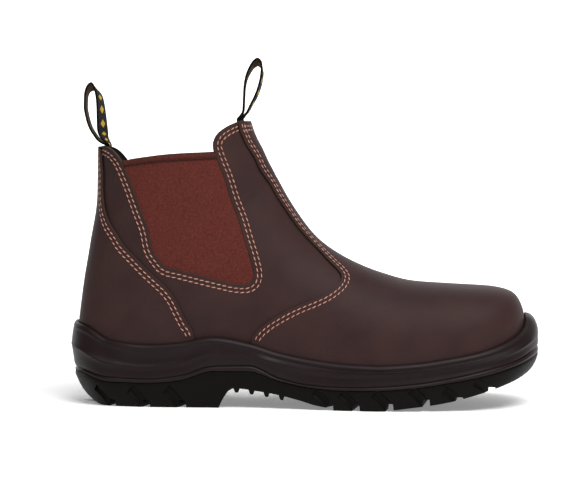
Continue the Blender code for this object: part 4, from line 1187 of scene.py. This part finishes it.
xs = [HEEL_X + share * SOLE_LENGTH for share in ARCH["x"]]
zs = [share * SOLE_SIDE for share in ARCH["z"]]
ribs = [HEEL_X + (FIRST_RIB + RIB_PITCH * i) * SOLE_LENGTH for i in range(RIBS)]
arch = []
for i in range(161):
    x = xs[0] + (xs[-1] - xs[0]) * i / 160
    z = between(xs, zs, x)
    for rib in ribs:
        near = abs(x - rib) / (0.5 * RIB_WIDTH)
        if near < 1.0:
            z -= RIB_HEIGHT * math.sqrt(1.0 - near ** 3)
    arch.append((x, z))
arch += [(xs[-1], BELOW), (xs[0], BELOW)]
cut(tread, cutter("arch_cutter", arch, BALL_WIDTH), "DIFFERENCE")

# %% Grooves between the lugs
GROOVES = (0.086, 0.160, 0.236, 0.547, 0.602, 0.672, 0.748, 0.817, 0.882)
CENTRE_GROOVES = ((0.10, 0.27), (0.57, 0.86))
LEAN = 11.0 * MM
CHANNEL_WIDTH = 4.6 * MM
CHANNEL_DEPTH = 4.5 * MM
CHANNEL_END = 11.0 * MM
CHANNEL_BELOW = 0.03
MOUTH_HEIGHT = 12.0 * MM
MOUTH_WIDTH = 3.3 * MM
MOUTH_DEPTH = 2.1 * MM
MOUTH_MARGIN = 1.5 * MM
MOUTH_START = 2.0 * MM
FRONT_LUGS = 0.8
FRONT_DEPTH = 0.35
FRONT_REACH = 0.55
outer_stations = stations[:STATIONS + 1]
station_xs = [line["point"].x for line in outer_stations]
station_bottoms = [line["bottom"] for line in outer_stations]
station_joints = [line["joint_foot"] for line in outer_stations]


def bottom(x):
    """Height of the underside at x."""
    return between(station_xs, station_bottoms, x)


for first, last in CENTRE_GROOVES:
    line = [HEEL_X + SOLE_LENGTH * (first + (last - first) * i / 12) for i in range(13)]
    roof = [(x, bottom(x) + CHANNEL_DEPTH) for x in line]
    outline = roof + [(line[-1], BELOW), (line[0], BELOW)]
    cut(tread, cutter("centre_cutter", outline, 0.5 * CHANNEL_WIDTH), "DIFFERENCE")

blank = BVHTree.FromPolygons([vertex.co for vertex in tread.data.vertices],
                             [tuple(polygon.vertices) for polygon in tread.data.polygons])
channels, mouths = [], []
for share in GROOVES:
    x = HEEL_X + share * SOLE_LENGTH
    depth = CHANNEL_DEPTH * (FRONT_DEPTH if share > FRONT_LUGS else 1.0)
    reach = MOUTH_HEIGHT * (FRONT_REACH if share > FRONT_LUGS else 1.0)
    reach = min(reach, between(station_xs, station_joints, x) - bottom(x) - MOUTH_MARGIN)
    for side, direction in (("outer", -1.0), ("inner", 1.0)):
        edge = LAST_Y + direction * (feather(side, share) + FLANGE)
        inner_end = Vector((x + 0.8 * LEAN, direction * CHANNEL_END, 0.0))
        outer_end = Vector((x, edge + direction * FLANGE, 0.0))
        line = []
        for i in range(7):
            point = inner_end.lerp(outer_end, i / 6.0)
            point.z = bottom(point.x)
            line.append((point, Vector((0.0, 0.0, 1.0))))
        half = 0.5 * CHANNEL_WIDTH
        foot = 1.25 * half
        section = [(-half, depth), (-foot, -CHANNEL_BELOW), (foot, -CHANNEL_BELOW), (half, depth)]
        channels.append(lay("channel", carried(line, section)))
        line, y = [], edge
        for i in range(13):
            up = 1.0 - i / 12.0
            z = bottom(x) - MOUTH_START + (reach + MOUTH_START) * up
            place_x = x + 0.25 * LEAN - LEAN * up ** 1.6
            hit = blank.ray_cast(Vector((place_x, direction * BALL_WIDTH, z)),
                                 Vector((0.0, -direction, 0.0)))[0]
            y = hit.y if hit else y
            line.append((Vector((place_x, y, z)), Vector((0.0, direction, 0.0))))
        mouths.append(lay("mouth", carried(line[::-1], oval(MOUTH_WIDTH, MOUTH_DEPTH, 12))))
for name, tools in (("channels", channels), ("mouths", mouths)):
    cut(tread, join(name, tools), "DIFFERENCE")
finish(tread, [tread_rubber], ["outsole"])

# %% [markdown]
# ## Footbed and pull loops
#
# The footbed is a thin foam sheet under a knitted cover, laid on the floor of the upper. The
# loops are one length of tape each: sewn to the lining inside the collar, up, over and back
# down onto itself. A grid follows the tape, and Solidify and Bevel give it its thickness.

# %% Footbed
INSOLE_THICKNESS = 4.0 * MM
INSOLE_EASE = 1.4 * MM
profiles = []
for line in stations:
    floor = line["seat"]
    out = LINING_FACE - INSOLE_EASE
    profiles.append([(out - inset * MM, floor + up * INSOLE_THICKNESS) for inset, up in
                     ((0.6, 0.0), (0.1, 0.12), (0.0, 0.4), (0.1, 0.75), (0.5, 0.93), (1.3, 1.0))])
footbed = ring_piece("footbed", profiles, [line["seat"] for line in stations],
                     [line["seat"] + INSOLE_THICKNESS for line in stations])
finish(footbed, [foam_cover], ["insole"])

# %% Pull loops
WEBBING_THICKNESS = 1.3 * MM
LOOP_HEIGHT = 40.0 * MM
TAB_LENGTH = 16.0 * MM
TAB_START = 1.0 * MM
LOOP_STEPS = 6
BOW_END = 0.14
ACROSS = 8
FRONT_LOOP = table(
    ("along", "up", "twist", "roll"),
    (-0.065, 0.03, 0.0, 0.0),
    (-0.03, 0.10, 0.0, 0.0),
    (-0.01, 0.19, 0.0, 0.0),
    (-0.003, 0.34, 0.0, 1.0),
    (0.004, 0.52, 0.0, 3.0),
    (0.03, 0.69, 0.0, 6.0),
    (0.09, 0.84, 0.0, 9.0),
    (0.16, 0.94, 0.0, 11.0),
    (0.22, 0.975, 0.0, 12.0),
    (0.275, 0.93, 0.0, 10.0),
    (0.295, 0.83, -1.5, 7.0),
    (0.28, 0.69, -2.0, 4.0),
    (0.24, 0.53, -2.5, 2.0),
    (0.18, 0.38, -2.5, 1.0),
    (0.11, 0.25, -2.0, 0.0),
    (0.06, 0.15, -1.0, 0.0),
    (0.012, 0.08, 0.0, 0.0),
    (-0.022, 0.03, 0.0, 0.0),
)
BACK_LOOP = table(
    ("along", "up", "twist", "roll"),
    (0.13, 0.03, 0.0, 0.0),
    (0.09, 0.09, -5.0, 0.0),
    (0.05, 0.17, -10.0, 0.0),
    (0.028, 0.28, -13.5, 0.0),
    (0.012, 0.47, -11.5, 0.0),
    (-0.004, 0.67, -9.0, 1.0),
    (-0.03, 0.83, -7.0, 4.0),
    (-0.075, 0.94, -5.0, 9.0),
    (-0.14, 0.99, -1.0, 13.0),
    (-0.205, 0.95, 0.0, 10.0),
    (-0.245, 0.83, 0.0, 5.0),
    (-0.25, 0.66, 0.0, 2.0),
    (-0.215, 0.46, 0.0, 0.0),
    (-0.165, 0.31, 0.0, 0.0),
    (-0.085, 0.18, 0.0, 0.0),
    (-0.01, 0.085, 0.0, 0.0),
    (0.09, 0.03, 0.0, 0.0),
)
lining_tree = sheet_tree(LINING_FACE - GAP)


def pull_loop(name, values, edge, direction, node):
    """Tape from inside the collar, up, over and back down onto the lining."""
    shares = [i / ACROSS - 0.5 for i in range(ACROSS + 1)]

    def tab(y, z, leg):
        """A point of the tape on the lining, or on the leg that lies there already."""
        first = Vector((edge[0] - direction * 0.3 * BALL_WIDTH, y, z))
        hit = lining_tree.ray_cast(first, Vector((direction, 0.0, 0.0)))[0]
        depth = 0.5 * WEBBING_THICKNESS + leg * (WEBBING_THICKNESS + GAP)
        return Vector((hit.x - direction * depth, y, z))

    heights = [edge[1] - TAB_LENGTH, edge[1] - 0.5 * TAB_LENGTH, edge[1] - TAB_START]
    rows = [[tab(LAST_Y + share * WEBBING_WIDTH, z, 1) for share in shares] for z in heights]
    curve = [tab(LAST_Y + share * WEBBING_WIDTH, heights[-1], 0).x for share in shares]
    middle = curve[len(curve) // 2]
    numbers = range(len(values["up"]))
    for step in range((len(numbers) - 1) * LOOP_STEPS + 1):
        along, up, twist, roll = (between(numbers, values[name], step / LOOP_STEPS)
                                  for name in values)
        turn, tip = math.radians(twist), math.radians(roll)
        row = []
        for share, x in zip(shares, curve):
            across = share * WEBBING_WIDTH
            bow = (x - middle) * max(0.0, 1.0 - up / BOW_END)
            row.append(Vector((edge[0] + along * LOOP_HEIGHT + bow - across * math.sin(turn),
                               LAST_Y + across * math.cos(turn),
                               edge[1] + up * LOOP_HEIGHT - across * math.sin(tip))))
        rows.append(row)
    rows += [[tab(LAST_Y + share * WEBBING_WIDTH, z, 0) for share in shares]
             for z in reversed(heights)]
    piece = lay(name, rows, closed=False)
    faces = [tape_face, tape_back] if direction < 0.0 else [tape_back, tape_face]
    for material in faces:
        piece.data.materials.append(material)
    modify(piece, "SOLIDIFY", thickness=WEBBING_THICKNESS, offset=0.0, material_offset=1,
           material_offset_rim=faces.index(tape_face))
    modify(piece, "BEVEL", width=0.3 * MM, segments=2, limit_method="ANGLE",
           angle_limit=math.radians(50.0))
    finish(piece, faces, [node])
    return piece


pull_loop("front_tape", FRONT_LOOP, collar_line[-1], 1.0, "pull_loop_front")
pull_loop("back_tape", BACK_LOOP, collar_line[0], -1.0, "pull_loop_back")

# %% [markdown]
# ## Floor and light
#
# The boot stands on a plain white sweep: a plane whose far edge is pulled up and rounded, so
# no horizon shows. The paper glows, and this glow is painted light. Its far parts glow in full,
# as painted light for a lit backdrop that stays white behind the boot from whichever side it is
# seen. Near the boot it glows at about a quarter strength, which is painted light that lightens
# the shadows under the boot and lights it from below. The world is plain white to the eye and
# lights the boot only a little. The rest of the light comes from two large soft boxes, one in
# front to the right and one overhead, as in a product studio.

# %% Floor
# Painted light: the paper near the boot glows at this strength, lightening the shadows under the
# boot and lighting it from below.
NEAR_PAINTED_GLOW = 0.24
bpy.data.objects.remove(form, do_unlink=True)
bpy.ops.object.select_all(action="DESELECT")
bpy.ops.mesh.primitive_plane_add(size=6.0, location=(0.0, 0.0, 0.0))
sweep = bpy.context.object
sweep.name = "sweep"
bpy.ops.object.mode_set(mode="EDIT")
bpy.ops.mesh.select_mode(type="EDGE")
bpy.ops.mesh.select_all(action="DESELECT")
bpy.ops.object.mode_set(mode="OBJECT")
for edge in sweep.data.edges:
    edge.select = all(sweep.data.vertices[i].co.y > 1.0 for i in edge.vertices)
bpy.ops.object.mode_set(mode="EDIT")
bpy.ops.mesh.extrude_region_move(TRANSFORM_OT_translate={"value": (0.0, 0.0, 3.0)})
bpy.ops.object.mode_set(mode="OBJECT")
modify(sweep, "BEVEL", width=1.5, segments=16, limit_method="ANGLE")
bpy.ops.object.shade_smooth()
paper, shader = start("pale paper with painted glow")
where = add(paper, "ShaderNodeTexCoord", {}, "Object")
fibres = add(paper, "ShaderNodeTexNoise", {"Vector": where, "Scale": 6.0})
mixed = add(paper, "ShaderNodeMix", {0: fibres, 6: colour("#fafafa"), 7: colour("#fdfdfd")}, 2,
            data_type="RGBA")
behind = add(paper, "ShaderNodeSeparateXYZ", {"Vector": where}, "Y")
around = add(paper, "ShaderNodeVectorMath", {"Vector": where}, "Value", operation="LENGTH")
# Painted light: the glow rises from the near strength by the boot to full on the far floor and the
# backdrop.
painted_glows = []
for value, near, far in ((behind, 0.4, 1.6), (around, 1.4, 2.4)):
    painted_glows.append(add(paper, "ShaderNodeMapRange", {
        "Value": value, "From Min": near, "From Max": far, "To Min": NEAR_PAINTED_GLOW, "To Max": 1.0}))
painted_glow = add(paper, "ShaderNodeMath", {0: painted_glows[0], 1: painted_glows[1]}, operation="MAXIMUM")
plug(paper, shader, {"Base Color": mixed, "Roughness": 0.9, "Emission Color": WHITE,
                     "Emission Strength": painted_glow})
sweep.data.materials.append(paper)

# %% Light
WORLD_LIGHT = 0.16
world = bpy.data.worlds.new("studio")
bpy.context.scene.world = world
world.use_nodes = True
seen = add(world, "ShaderNodeLightPath", {}, "Is Camera Ray")
strength = add(world, "ShaderNodeMapRange", {"Value": seen, "To Min": WORLD_LIGHT, "To Max": 1.0})
plug(world, world.node_tree.nodes["Background"], {"Color": WHITE, "Strength": strength})
for name, spot, size, power in (("front_box", (0.40, -0.85, 1.60), 1.2, 37.0),
                                ("top_box", (0.1, 0.2, 1.7), 1.2, 3.0)):
    bpy.ops.object.light_add(type="AREA", location=spot)
    lamp = bpy.context.object
    lamp.name = name
    lamp.data.size = size
    lamp.data.energy = power
    lamp.rotation_euler = (Vector(spot) - LOOK_AT).to_track_quat("Z", "Y").to_euler()
print("lights: world, front_box, top_box")
